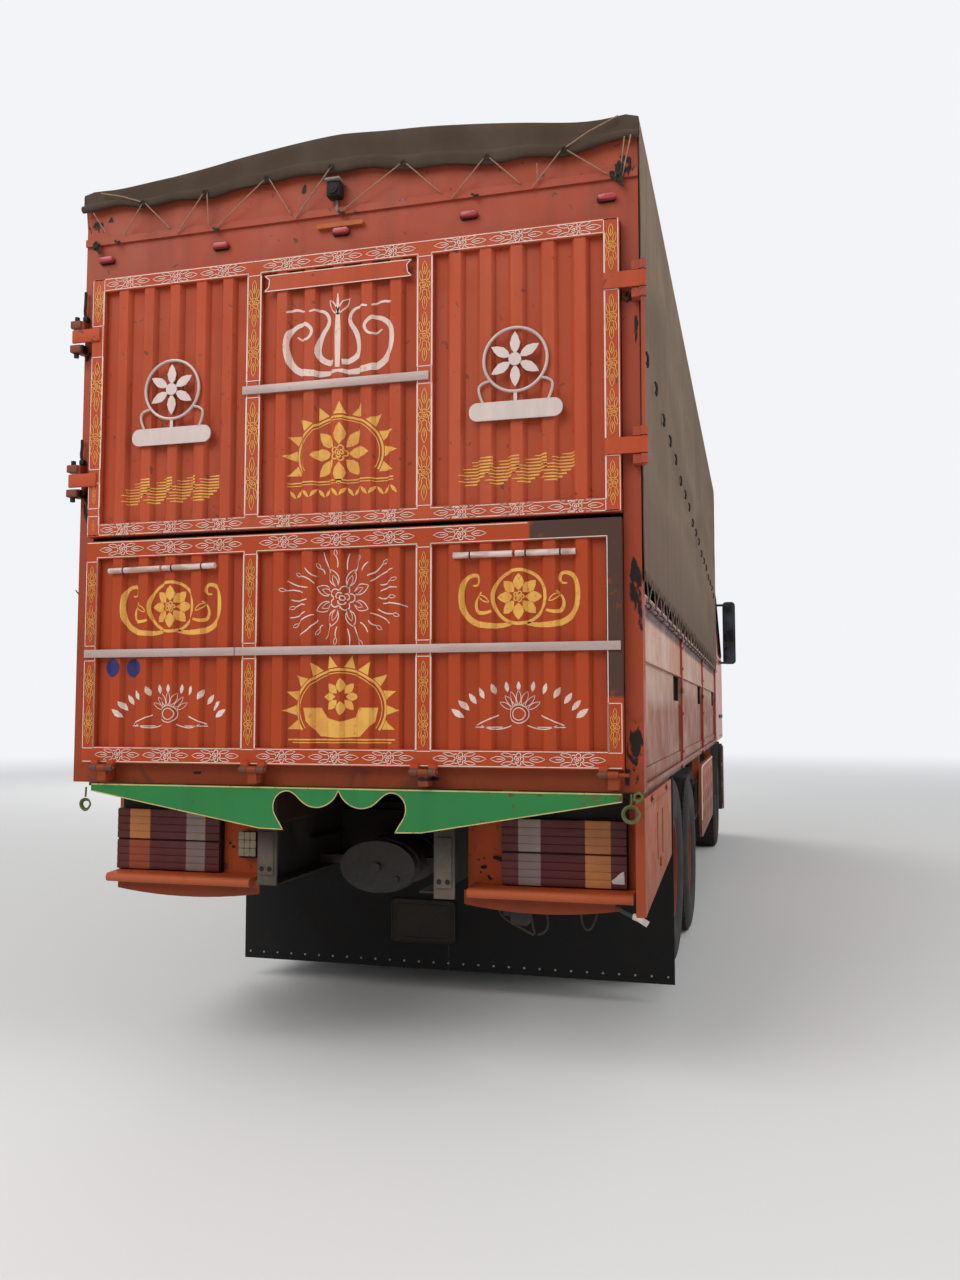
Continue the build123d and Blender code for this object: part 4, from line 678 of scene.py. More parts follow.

# Five red marker lamps on the header, each a domed lens in a dark bezel that also serves as its painted
# shadow; a bar over the middle one
MARKERS = (-1.138, -0.567, -0.003, 0.561, 1.128)
lenses = bmesh.new()
bezel_shadows = bmesh.new()
for x in MARKERS:
    z = 3.565 if abs(x) < 0.1 else 3.567
    # Each bezel sits low and to the left of its lens, partly a bezel and partly a painted shadow
    plate(bezel_shadows, rounded(x - 0.003, z - 0.004, 0.0385, 0.0145, 0.014), REAR - 0.008, REAR - 0.0005)
    plate(lenses, rounded(x, z, 0.037, 0.0135, 0.0132), REAR - 0.027, REAR - 0.009)
rims = [e for e in lenses.edges if all(v.co.y < REAR - 0.019 for v in e.verts)]
bmesh.ops.bevel(
    lenses, geom=rims, offset=0.006, offset_type="OFFSET", segments=3, profile=0.5, affect="EDGES",
    material=-1,
)
dark_plastic = Finish("dark_plastic", (0.014, 0.012, 0.011), 0.6, gloss=0.15)
dark_plastic.clouded(9, (0.008, 0.007, 0.006), (0.026, 0.020, 0.017))
dark_plastic.bump(dark_plastic.cloud(70, detail=2), 0.15, 0.0008)
marker_red = Finish("marker_lens", (0.34, 0.030, 0.028), 0.25)
marker_red.clouded(14, (0.28, 0.022, 0.022), (0.42, 0.045, 0.042))
marker_red.bump(marker_red.bands(60, "X"), 0.3, 0.001)
marker_red.shader.inputs["Coat Weight"].default_value = 0.3
placed("marker_lenses", closed(lenses), marker_red, "chassis")
placed("marker_bezel_shadows", closed(bezel_shadows), dark_plastic, "chassis")
long_marker = bmesh.new()
plate(long_marker, rounded(-0.008, 3.592, 0.106, 0.010, 0.0095), REAR - 0.022, REAR - 0.0005)
orange_bar = enamel("marker_bar_enamel", (0.42, 0.105, 0.030), (0.36, 0.080, 0.030), (0.14, 0.05, 0.03), 0.4)
placed("marker_bar", closed(long_marker), orange_bar, "chassis")

# A dark camera with a grey hood on a thin bracket under the header's peak
camera_box = bmesh.new()
block(camera_box, (-0.056, REAR - 0.058, 3.700), (0.008, REAR - 0.006, 3.768), 0.010)
bar(camera_box, (-0.024, REAR - 0.066, 3.732), (-0.024, REAR - 0.050, 3.732), 0.023, 20)
bar(camera_box, (-0.024, REAR - 0.068, 3.732), (-0.024, REAR - 0.060, 3.732), 0.013, 16)
placed("rear_camera", closed(camera_box), dark_plastic, "chassis")
camera_hood = bmesh.new()
block(camera_hood, (-0.059, REAR - 0.070, 3.766), (0.011, REAR - 0.004, 3.778), 0.005)
block(camera_hood, (-0.030, REAR - 0.014, 3.655), (-0.018, REAR - 0.004, 3.702), 0.002)
hood_grey = Finish("camera_hood_grey", (0.20, 0.18, 0.17), 0.5)
hood_grey.clouded(40, (0.13, 0.115, 0.105), (0.26, 0.235, 0.22))
hood_grey.bump(hood_grey.cloud(90, detail=2), 0.2, 0.0006)
placed("camera_hood", closed(camera_hood), hood_grey, "chassis")


# Painted ornaments on the gates: each stroke is a thin ribbon of paint drawn through a few points.
# Rose and leaf chains fill the members, white across and gold upright, between white lines.
LINE = 0.0037
PAINT_LIFT = 0.0010
RIB_PITCH, RIB_TOP, RIB_FOOT = 0.128, 0.045, 0.078
RIB_FACE, RECESS_FACE = GATE_FACE + 0.004, GATE_FACE + 0.026


def brushed(strokes, steps=5):
    """Flat mesh of brush strokes; each stroke is a row of (x, y, width) that it runs smoothly by."""
    rows = [[(x, y, 0, width) for x, y, width in stroke] for stroke in strokes]
    return curve_mesh(
        "strokes", rows, 3, False, math.pi / 2, twist_mode="Z_UP", extrude=0.5, resolution_u=steps,
    )


def leaf(x, y, degrees, length, belly, width=LINE):
    """Two strokes of a pointed leaf from its stalk."""
    along = Vector(around(0, 0, 1, math.radians(degrees)))
    beside = Vector((-along.y, along.x))
    start = Vector((x, y))
    strokes = []
    for side in (-1, 1):
        middle = start + along * length * 0.45 + beside * belly * side * 1.7
        tip = start + along * length
        strokes.append([(*start, width * 0.7), (*middle, width), (*tip, width * 0.5)])
    return strokes


def ring(radius, width=LINE, squash=1.0, first=0, last=360, points=16):
    """Strokes of a circle, or of an arc, drawn as short curves end to end."""
    count = max(3, round(points * (last - first) / 360))
    strokes = []
    for k in range(count):
        a, b = (math.radians(first + (last - first) * step / count) for step in (k, k + 1))
        reach = radius / math.cos((b - a) / 2)
        strokes.append([
            (*around(0, 0, out, turn, squash * out), width)
            for out, turn in ((radius, a), (reach, (a + b) / 2), (radius, b))
        ])
    return strokes


def rose(x, y, size, width=LINE):
    """A round heart in two rows of overlapping petals."""
    heart = ring(size * 0.20, width, points=5)
    strokes = [[(x + across, y + up, wide) for across, up, wide in arc] for arc in heart]
    for reach, count, first, spread in ((0.56, 3, 0.35, 0.80), (1.0, 5, 0.0, 0.56)):
        for k in range(count):
            middle = first + 2 * math.pi * k / count
            strokes.append([
                (*around(x, y, size * out, middle + turn), width)
                for out, turn in (
                    (reach * 0.72, -spread), (reach * 1.17, -spread * 0.6), (reach * 1.17, spread * 0.6),
                    (reach * 0.72, spread),
                )
            ])
    return strokes


def stamp(target, mesh, place, turn=0.0, size=1.0, flip=1):
    """Adds a flat drawing upright on the gate's face, seen from behind the truck."""
    known = len(target.verts)
    target.from_mesh(mesh)
    target.verts.ensure_lookup_table()
    x, y, z = place
    upright = Matrix.Translation((x, y, z)) @ Matrix.Rotation(math.pi / 2, 4, "X")
    drawn = Matrix.Rotation(turn, 4, "Z") @ Matrix.Diagonal((size * flip, size, size, 1))
    bmesh.ops.transform(target, matrix=upright @ drawn, verts=target.verts[known:])


def facing_back(target):
    """Turns every painted face towards the rear."""
    target.normal_update()
    bmesh.ops.reverse_faces(target, faces=[face for face in target.faces if face.normal.y > 0])
    return target


def rule(start, end, width=LINE):
    """A straight painted line."""
    middle = ((start[0] + end[0]) / 2, (start[1] + end[1]) / 2)
    return [(*start, width), (*middle, width), (*end, width)]


def frame_lines(left, right, low, high, width=0.0034):
    """Four lines round a rectangle."""
    half = width / 2
    return [
        rule((left - half, low), (right + half, low), width),
        rule((left - half, high), (right + half, high), width),
        rule((left, low), (left, high), width),
        rule((right, low), (right, high), width),
    ]


def mirrored(strokes):
    """Strokes drawn on both sides of the middle."""
    return [[(side * x, z, width) for x, z, width in stroke] for side in (-1, 1) for stroke in strokes]


# One motif lies along a member: a rose between crossing side leaves and two long, veined end leaves
motif = rose(0, 0, 0.0240, 0.0034)
for side in (0, 180):
    for lean in (-1, 1):
        root = around(0, 0, 0.024, math.radians(side + lean * 34))
        motif += leaf(*root, side + lean * 10, 0.050, 0.0085)
    end = 1 if side == 0 else -1
    motif += leaf(end * 0.050, 0, side, 0.064, 0.0130)
    motif += [rule((end * 0.060, 0), (end * 0.086, 0), LINE * 0.8)]
motif_mesh = brushed(motif, 3)
MOTIF_LENGTH, MOTIF_PITCH = 0.236, 0.22

PANELS = ((-1.116, -0.418), (-0.348, 0.348), (0.418, 1.116))
FACE = GATE_FACE - PAINT_LIFT
# Gates: name, heights of the lower edge, the sunk panels' low and high ends, and the upper edge
GATES = (
    ("upper_gate", 2.297, 2.354, 3.401, 3.464),
    ("lower_gate", 1.309, 1.380, 2.198, 2.275),
)
# Upright members: middle, half width, and the boxes on them as low and high ends, gate by gate
UPRIGHTS = {
    "upper_gate": (
        (-1.147, 0.031, ((2.303, 2.388), (2.423, 2.536), (2.598, 3.106), (3.247, 3.458))),
        (-0.383, 0.035, ((2.360, 2.862), (2.935, 3.395))),
        (0.383, 0.035, ((2.360, 2.862), (2.935, 3.395))),
        (1.147, 0.031, ((2.303, 2.516), (2.581, 3.173), (3.235, 3.458))),
    ),
    "lower_gate": (
        (-1.147, 0.029, ((1.372, 1.750), (1.815, 2.185))),
        (-0.383, 0.035, ((1.372, 1.750), (1.815, 2.190))),
        (0.383, 0.035, ((1.372, 1.750), (1.815, 2.190))),
        (1.147, 0.029, ((1.372, 1.560),)),
    ),
}


def worn_paint(name, fresh, under, wear=0.55):
    """Hand-laid sign paint, brushed thin in places and rubbed off on the ribs."""
    paint = Finish(name, fresh, 0.5)
    thin = paint.ramp(paint.cloud(16, (1, 1, 0.5), 6), 0.45, 0.70, 0, wear)
    colour = paint.mix(thin, fresh, under)
    rubbed = paint.ramp(paint.cloud(60, detail=5), 0.62, 0.68, 0, 0.8)
    paint.to("Base Color", paint.mix(rubbed, colour, under))
    paint.to("Roughness", paint.ramp(paint.cloud(20, detail=3), 0.3, 0.7, 0.4, 0.65))
    paint.bump(paint.cloud(45, (1, 1, 0.3), 3), 0.25, 0.0006)
    return paint


white_paint = worn_paint("white_sign_paint", (0.72, 0.555, 0.485), (0.55, 0.27, 0.18), 0.4)
gold_paint = worn_paint("gold_sign_paint", (0.72, 0.385, 0.075), (0.52, 0.16, 0.04), 0.45)
white_work = {"upper_gate": bmesh.new(), "lower_gate": bmesh.new()}
gold_work = {"upper_gate": bmesh.new(), "lower_gate": bmesh.new()}
for gate, low_edge, panel_low, panel_high, high_edge in GATES:
    lines = []
    for left, right in PANELS:
        lines += frame_lines(left - 0.006, right + 0.006, panel_low - 0.006, panel_high + 0.006)
    lines += [rule((-1.172, low_edge + 0.006), (1.172, low_edge + 0.006))]
    line_end = 1.172 if gate == "upper_gate" else 0.810
    lines += [rule((-1.172, high_edge - 0.006), (line_end, high_edge - 0.006))]
    for middle, half, boxes in UPRIGHTS[gate]:
        for low, high in boxes:
            lines += frame_lines(middle - half + 0.003, middle + half - 0.003, low, high)
            count = max(1, round((high - low - 0.03) / MOTIF_PITCH))
            pitch = (high - low - 0.03) / count
            for k in range(count):
                z = low + 0.015 + pitch * (k + 0.5)
                size = min(pitch / MOTIF_LENGTH, 1.0)
                stamp(gold_work[gate], motif_mesh, (middle, FACE, z), math.pi / 2, size)
    stamp(white_work[gate], brushed(lines, 1), (0, FACE, 0))
    for left, right in PANELS:
        for step in (-1, 0, 1):
            x = (left + right) / 2 + step * 0.234
            for z in ((low_edge + panel_low) / 2, (high_edge + panel_high) / 2):
                patched = gate == "lower_gate" and z > 2.2 and x > 0.73
                if not patched:
                    stamp(white_work[gate], motif_mesh, (x, FACE, z), 0, 0.96)


def onto_ribs(target, middle):
    """Lays a flat drawing down on the ribs and hollows of a panel."""
    for rib in range(-2, 3):
        for edge in (-RIB_FOOT / 2, -RIB_TOP / 2, RIB_TOP / 2, RIB_FOOT / 2):
            geometry = target.verts[:] + target.edges[:] + target.faces[:]
            cut = (middle + rib * RIB_PITCH + edge, 0, 0)
            bmesh.ops.bisect_plane(target, geom=geometry, plane_co=cut, plane_no=(1, 0, 0))
    for vert in target.verts:
        nearest = round((vert.co.x - middle) / RIB_PITCH)
        off = abs(vert.co.x - middle - max(-2, min(2, nearest)) * RIB_PITCH)
        fall = min(max((off - RIB_TOP / 2) / ((RIB_FOOT - RIB_TOP) / 2), 0), 1)
        vert.co.y = RIB_FACE + (RECESS_FACE - RIB_FACE) * fall - PAINT_LIFT


def painted_on(work, strokes, x, z, panel_middle, shapes=(), steps=5):
    """Adds strokes and filled shapes, drawn about a middle, to a gate's paint work."""
    part = bmesh.new()
    if strokes:
        stamp(part, brushed(strokes, steps), (x, 0, z))
    for shape in shapes:
        part.faces.new([part.verts.new((x + across, 0, z + up)) for across, up in shape])
    onto_ribs(part, panel_middle)
    merged = bpy.data.meshes.new("painting")
    part.to_mesh(merged)
    part.free()
    work.from_mesh(merged)


def rays(inner, outer, half_angle, count, squash=1.0, first=0, last=360):
    """Filled pointed rays round a circle."""
    shapes = []
    for k in range(count):
        middle = math.radians(first + (last - first) * k / (count - (last - first != 360)))
        shapes.append([
            around(0, 0, reach, middle + turn, squash * reach)
            for reach, turn in ((inner, -half_angle), (outer, 0), (inner, half_angle))
        ])
    return shapes


def petal(degrees, near, far, belly):
    """Filled pointed petal between two distances from the middle."""
    along = around(0, 0, 1, math.radians(degrees))
    beside = (-along[1], along[0])
    half = ((0.0, 0.0), (0.25, 0.75), (0.5, 1.0), (0.78, 0.62), (1.0, 0.0))
    rows = half + tuple((part, -side) for part, side in half[3:0:-1])
    return [
        tuple((near + (far - near) * part) * along[i] + belly * side * beside[i] for i in (0, 1))
        for part, side in rows
    ]


def blooms(count, first, last, across, up, low, length, belly):
    """Filled leaves stood along an arch, leaning outward like the rays of a fan."""
    shapes = []
    for k in range(count):
        turn = first + (last - first) * k / (count - 1)
        reach = 1 + 0.5 * abs(turn - 90) / 70
        base = around(0, low, across, math.radians(turn), up)
        lean = 90 + (turn - 90) * 0.75
        shapes.append([
            (base[0] + x, base[1] + z) for x, z in petal(lean, 0.0, length * reach, belly * reach)
        ])
    return shapes


# Upper outer panels: a gold ornament of leaning striped lozenges with long tails
comets = []
for k in range(4):
    for row in range(9):
        reach = 0.046 * (1 - abs(row - 4) / 5.2)
        lean = 0.0085 * (row - 4)
        x = -0.150 + k * 0.110 + lean
        tail = 0.050 if row % 2 else 0.030
        comets.append([
            (x - reach - tail, 0.013 * (row - 4), 0.0030), (x, 0.013 * (row - 4), 0.0078),
            (x + reach, 0.013 * (row - 4) + 0.002, 0.0075),
        ])
for x, middle in ((-0.768, -0.767), (0.772, 0.767)):
    painted_on(gold_work["upper_gate"], comets, x, 2.488, middle, steps=2)

# Upper middle panel: a white scroll plant above, a gold half sun with a flower below
scrolls = mirrored([
    [(0, -0.165, 0.012), (0.07, -0.175, 0.028), (0.215, -0.15, 0.030), (0.25, 0.0, 0.024),
     (0.17, 0.065, 0.018), (0.105, 0.02, 0.014), (0.15, -0.035, 0.010), (0.19, 0.0, 0.006)],
    [(0.02, -0.13, 0.022), (0.10, -0.115, 0.026), (0.085, -0.01, 0.022), (0.035, 0.055, 0.016),
     (0.075, 0.115, 0.012), (0.13, 0.10, 0.008)],
    [(0.15, 0.10, 0.006), (0.20, 0.135, 0.016), (0.235, 0.105, 0.006)],
])
scrolls += [[(0, -0.15, 0.02), (0, -0.03, 0.030), (0, 0.09, 0.018), (0, 0.165, 0.005)]]
scrolls += leaf(0.0, 0.075, 58, 0.085, 0.014, 0.007) + leaf(0.0, 0.075, 122, 0.085, 0.014, 0.007)
painted_on(white_work["upper_gate"], scrolls, 0.0, 3.115, 0.0)

half_sun = ring(0.187, 0.009, 0.83, -28, 208) + ring(0.172, LINE, 0.83, -28, 208)
half_sun += [rule((-0.235, -0.114), (0.24, -0.112), 0.006), rule((-0.235, -0.126), (0.24, -0.124), 0.004)]
buds = []
for k in range(15):
    base = (-0.228 + k * 0.0325, -0.178 if k % 2 else -0.145)
    buds.append([(base[0] + x, base[1] + z) for x, z in petal(50 if k % 2 else -50, 0.0, 0.046, 0.0075)])
half_sun += rose(0, 0, 0.030, 0.006)
petals = [petal(90 + 45 * k, 0.036, 0.132, 0.026) for k in range(8)]
sun_shapes = rays(0.196, 0.256, 0.135, 11, 0.86, -22, 202) + petals + buds
painted_on(gold_work["upper_gate"], half_sun, 0.010, 2.600, 0.0, sun_shapes)

# Lower outer panels: a gold rosette between two rising scrolls, and a white fan under an arch
wings = ring(0.106, 0.013) + rose(0, 0, 0.019, 0.005)
wings += mirrored([
    [(0.03, -0.105, 0.014), (0.13, -0.125, 0.026), (0.235, -0.07, 0.022), (0.235, 0.075, 0.018),
     (0.165, 0.10, 0.014), (0.16, 0.045, 0.010), (0.19, 0.05, 0.006)],
    [(0.11, -0.055, 0.010), (0.165, -0.075, 0.018), (0.185, -0.01, 0.010), (0.15, 0.02, 0.006)],
    *leaf(0.12, -0.02, 35, 0.055, 0.010, 0.006),
])
wing_petals = [petal(90 + 45 * k, 0.024, 0.092, 0.0225) for k in range(8)]
arch = ring(0.036, 0.004, 1.0) + ring(0.024, 0.0035, 1.0)
for turn in range(30, 151, 20):
    arch += leaf(*around(0, 0, 0.036, math.radians(turn)), turn, 0.058, 0.011, 0.0035)
arch += mirrored([
    rule((0.175, -0.045), (0.085, -0.005), 0.005), rule((0.180, -0.052), (0.070, -0.052), 0.004),
    [(0.03, -0.045, 0.004), (0.10, -0.075, 0.006), (0.15, -0.045, 0.003)],
])
arch_shapes = blooms(13, 162, 18, 0.236, 0.150, -0.062, 0.040, 0.0085)
for x, middle in ((-0.762, -0.767), (0.772, 0.767)):
    painted_on(gold_work["lower_gate"], wings, x, 1.980, middle, wing_petals)
    painted_on(white_work["lower_gate"], arch, x, 1.520, middle, arch_shapes, 4)

# Lower middle panel: a white burst of drops round a flower, over a gold sun with a shell
burst = rose(0, 0, 0.046, 0.005)
for k in range(8):
    turn = 45 * k + 22
    start = around(0, 0, 0.050, math.radians(turn))
    burst += leaf(*start, turn, 0.078, 0.024, 0.0055) + leaf(*start, turn, 0.052, 0.012, 0.004)
for k in range(30):
    turn = math.radians(12 * k)
    near, far = 0.138 + 0.010 * (k % 3), 0.182 + 0.026 * (k % 2) + 0.012 * (k % 5)
    across, up = around(0, 0, 1.12, turn, 0.80)
    middle = 0.5 * (near + far)
    bend = 0.012 * (-1) ** k
    burst += [
        [(near * across, near * up, 0.004), (middle * across + bend * up, middle * up - bend * across, 0.007),
         (far * across, far * up, 0.0035)],
    ]
    if k % 2 == 0:
        burst += leaf(far * across, far * up, math.degrees(math.atan2(up, across)), 0.030, 0.008, 0.0035)
painted_on(white_work["lower_gate"], burst, 0.028, 1.995, 0.0)

low_sun = ring(0.192, 0.010, 0.84, -32, 212) + ring(0.176, LINE, 0.84, -32, 212)
low_sun += [rule((-0.235, -0.126), (0.24, -0.124), 0.006), rule((-0.215, -0.138), (0.225, -0.136), 0.004)]
shell = [petal(90 + 45 * k, 0.018, 0.076, 0.0175) for k in range(8)]
shell = [[(x, z + 0.050) for x, z in shape] for shape in shell]
shell.append([
    (-0.160, 0.005), (-0.148, -0.050), (-0.090, -0.112), (0.0, -0.118), (0.090, -0.112), (0.148, -0.050),
    (0.160, 0.005), (0.088, 0.005), (0.062, -0.034), (0.0, -0.052), (-0.062, -0.034), (-0.088, 0.005),
])
low_rays = rays(0.200, 0.258, 0.125, 12, 0.86, -22, 202)
painted_on(gold_work["lower_gate"], low_sun, 0.024, 1.540, 0.0, low_rays + shell)

# Two blue discs are painted beside the fan of the left panel
blue_work = bmesh.new()
disc = [around(0, 0, 0.040, 2 * math.pi * k / 18, 0.041) for k in range(18)]
for x, z in ((-1.041, 1.720), (-0.940, 1.718)):
    painted_on(blue_work, [], x, z, -0.767, [disc])
blue = worn_paint("blue_sign_paint", (0.014, 0.020, 0.115), (0.060, 0.020, 0.060), 0.35)
placed("blue_discs", facing_back(blue_work), blue, "lower_gate")

for gate in ("upper_gate", "lower_gate"):
    placed(f"{gate}_white_ornament", facing_back(white_work[gate]), white_paint, gate)
    placed(f"{gate}_gold_ornament", facing_back(gold_work[gate]), gold_paint, gate)

# Metal signs on the upper gate: a steel ring round a flower, on two bowed legs over a bare plate
sign_steel = Finish("brushed_sign_steel", (0.48, 0.39, 0.36), 0.45, 0.3)
sign_steel.clouded(22, (0.42, 0.335, 0.305), (0.58, 0.47, 0.435), (1, 1, 0.3))
sign_steel.bump(sign_steel.cloud(90, (8, 1, 1), 2), 0.2, 0.0005)
SIGN_MIDDLES, SIGN_Z, SIGN_RING, SIGN_Y = (-0.765, 0.764), 2.926, 0.130, GATE_FACE - 0.008
BARE_PLATE_Z = 2.722
signs = bmesh.new()
for x in SIGN_MIDDLES:
    circle = [around(x, SIGN_Z, SIGN_RING, 2 * math.pi * k / 24) for k in range(24)]
    circle = [(circle_x, SIGN_Y, circle_z) for circle_x, circle_z in circle]
    signs.from_mesh(cord_mesh("sign_ring", [circle], 0.0065, 2, 3, True))
    for k in range(6):
        shape = petal(90 + 60 * k, 0.020, 0.112, 0.021)
        plate(signs, [(x + across, SIGN_Z + up) for across, up in shape], GATE_FACE - 0.013, SIGN_Y)
    plate(signs, rounded(x, SIGN_Z, 0.026, 0.026, 0.0255), GATE_FACE - 0.016, GATE_FACE - 0.007)
    legs = [
        [(x + side * out, SIGN_Y, z)
         for out, z in ((0.105, 2.845), (0.150, 2.838), (0.150, 2.790), (0.130, 2.752))]
        for side in (-1, 1)
    ]
    signs.from_mesh(cord_mesh("sign_legs", legs, 0.0055, 1, 3))
    stalk = [(x - 0.007, 2.75), (x + 0.007, 2.75), (x + 0.007, 2.80), (x - 0.007, 2.80)]
    plate(signs, stalk, GATE_FACE - 0.010, GATE_FACE - 0.006)
    plate(signs, rounded(x, BARE_PLATE_Z, 0.190, 0.037, 0.034), GATE_FACE - 0.012, GATE_FACE - 0.004)
    for bolt_x in (x - 0.13, x + 0.13):
        head, foot = ((bolt_x, GATE_FACE + step, BARE_PLATE_Z) for step in (-0.005, 0.006))
        bar(signs, head, foot, 0.006)
placed("metal_signs", closed(signs), sign_steel, "upper_gate")

# A notched banner board over the upper middle panel, painted like the gate and edged in white
banner = bmesh.new()
NOTCHED = [
    (-0.334, 3.386), (0.326, 3.386), (0.306, 3.368), (0.309, 3.336), (0.326, 3.318), (-0.334, 3.318),
    (-0.314, 3.336), (-0.311, 3.368),
]
plate(banner, NOTCHED, GATE_FACE - 0.004, GATE_FACE + 0.004)
placed("banner_board", closed(banner), gate_paint, "upper_gate")
banner_edge = bmesh.new()
edge_strokes = [rule(NOTCHED[k - 1], NOTCHED[k], 0.004) for k in range(len(NOTCHED))]
stamp(banner_edge, brushed(edge_strokes, 1), (0, GATE_FACE - 0.005, 0))
placed("banner_edge", facing_back(banner_edge), white_paint, "upper_gate")

# Aluminium trim strips across both gates, held by small rivets: gate, ends, height, half width
STRIPS = (
    ("upper_gate", -0.430, 0.402, 2.894, 0.0185),
    ("lower_gate", -1.172, -0.449, 1.781, 0.0175),
    ("lower_gate", -0.446, 1.172, 1.781, 0.0175),
)
RIVET_PITCH = 0.19
aluminium = Finish("dull_aluminium", (0.40, 0.30, 0.275), 0.5, 0.25)
aluminium.clouded(5, (0.33, 0.235, 0.21), (0.50, 0.385, 0.355), (1, 1, 5))
aluminium.bump(aluminium.bands(45, "Z", 0.5), 0.2, 0.001)
for gate in ("upper_gate", "lower_gate"):
    trim = bmesh.new()
    for owner, left, right, z, half in STRIPS:
        if owner == gate:
            block(trim, (left, GATE_FACE - 0.009, z - half), (right, GATE_FACE + 0.0005, z + half), 0.002)
            gaps = int((right - left) / RIVET_PITCH)
            for k in range(gaps + 1):
                x = left + 0.02 + k * (right - left - 0.04) / gaps
                bar(trim, (x, GATE_FACE - 0.0105, z), (x, GATE_FACE - 0.008, z), 0.004, 8)
    placed(f"{gate}_trim_strips", closed(trim), aluminium, gate)

# Light bars under the lower gate's top member: frosted tubes held by dark clips
bars = bmesh.new()
clips = bmesh.new()
for left, right, low, high in ((-1.058, -0.546, 2.141, 2.149), (0.508, 1.000, 2.150, 2.149)):
    for first, last in ((0.0, 0.49), (0.515, 1.0)):
        ends = [
            (left + (right - left) * part, GATE_FACE - 0.004, low + (high - low) * part)
            for part in (first, last)
        ]
        bar(bars, *ends, 0.0125, 14)
    for part in (0.14, 0.60, 0.88):
        x, z = left + (right - left) * part, low + (high - low) * part
        bar(clips, (x - 0.003, GATE_FACE - 0.004, z), (x + 0.003, GATE_FACE - 0.004, z), 0.0135, 12)
        block(clips, (x - 0.006, GATE_FACE - 0.004, z - 0.008), (x + 0.006, GATE_FACE + 0.010, z + 0.008))
frosted = Finish("frosted_tube", (0.60, 0.46, 0.42), 0.35)
dusty = frosted.ramp(frosted.cloud(12, (1, 1, 4)), 0.45, 0.62)
frosted.to("Base Color", frosted.mix(dusty, (0.66, 0.51, 0.47), (0.42, 0.27, 0.22)))
frosted.bump(frosted.bands(40, "X"), 0.2, 0.001)
placed("light_bars", closed(bars), frosted, "lower_gate")
placed("light_bar_clips", closed(clips), dark_plastic, "lower_gate")

# Gate latches on the left: a strap on the gate between two fixed knuckles, with chained pins
latches = bmesh.new()
knuckles = bmesh.new()
pins = bmesh.new()
for z in (2.552, 3.208):
    block(latches, (-1.276, REAR - 0.060, z - 0.030), (-1.135, GATE_FACE + 0.004, z + 0.030), 0.005)
    for side in (-1, 1):
        near, far = (z + side * reach for reach in (0.038, 0.072))
        block(knuckles, (-1.284, REAR - 0.062, near), (-1.232, REAR - 0.022, far), 0.004)
        near, far = (z + side * reach for reach in (0.040, 0.070))
        block(knuckles, (-1.262, REAR - 0.030, near), (-1.249, REAR + 0.030, far), 0.003)
        bar(pins, (-1.262, REAR - 0.042, far), (-1.262, REAR - 0.042, z + side * 0.092), 0.011, 10)
    block(pins, (-1.246, REAR - 0.028, z + 0.078), (-1.222, REAR - 0.004, z + 0.102), 0.005)
placed("gate_latches", closed(latches), gate_paint, "upper_gate")
latch_rust = enamel("latch_enamel", (0.20, 0.055, 0.032), (0.14, 0.055, 0.040), (0.055, 0.032, 0.026), 0.8)
placed("latch_knuckles", closed(knuckles), latch_rust, "chassis")
placed("latch_pins", closed(pins), dark_plastic, "chassis")
chains = [
    [(-1.240, REAR - 0.016, 3.425), (-1.236, REAR - 0.022, 3.37), (-1.243, REAR - 0.018, 3.32),
     (-1.234, REAR - 0.016, 3.300)],
    [(-1.240, REAR - 0.016, 2.745), (-1.234, REAR - 0.022, 2.71), (-1.242, REAR - 0.020, 2.67),
     (-1.234, REAR - 0.016, 2.645)],
]
corded("latch_chains", chains, 0.0065, black_rope)


# Green valance under the sill: one plate of sheet steel, cut to a scroll edge and held by two tabs.
# A pale yellow line is painted along its cut edge, and rust has come through at its right end.
valance_paint = enamel(
    "valance_enamel", (0.024, 0.172, 0.044), (0.030, 0.190, 0.056), (0.030, 0.095, 0.032), 0.5,
)
rusty = valance_paint.ramp(valance_paint.axis("X"), 0.98, 1.15)
rust_cloud = valance_paint.ramp(valance_paint.cloud(22, detail=7), 0.44, 0.58)
rust = valance_paint.both(rusty, rust_cloud)
valance_paint.to("Base Color", valance_paint.mix(rust, valance_paint.colour, (0.16, 0.055, 0.025)))
VALANCE_MIDDLE, VALANCE_END, VALANCE_REAR = 0.022, 1.150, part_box("valance")[0][1]
# Scroll from the middle cusp round one lobe and one curl to the tip, as x from the middle and height
SCROLL = (
    (0.0, 1.212), (0.010, 1.188), (0.030, 1.165), (0.060, 1.146), (0.097, 1.138), (0.137, 1.146),
    (0.165, 1.166), (0.186, 1.187), (0.210, 1.203), (0.235, 1.206), (0.262, 1.195), (0.281, 1.174),
    (0.289, 1.148), (0.287, 1.120), (0.274, 1.094), (0.257, 1.070), (0.243, 1.045),
)
LOWER_EDGE = ((0.352, 1.048), (VALANCE_END, 1.187), (VALANCE_END, 1.220))
half_plate = SCROLL + LOWER_EDGE
whole_plate = [(VALANCE_MIDDLE + x, z) for x, z in half_plate]
whole_plate += [(VALANCE_MIDDLE - x, z) for x, z in half_plate[:0:-1]]
valance_mesh = bmesh.new()
plate(valance_mesh, whole_plate, VALANCE_REAR, VALANCE_REAR + 0.005)
for left, right in ((-0.760, -0.700), (0.700, 0.760)):
    block(valance_mesh, (left, VALANCE_REAR + 0.004, 1.205), (right, REAR + 0.001, 1.220), 0.001)
valance_piece = placed("valance_plate", closed(valance_mesh), valance_paint, "chassis")
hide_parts("valance")
edge_line = [rule((-1.146, 1.2165), (1.146, 1.2165), 0.0055)]
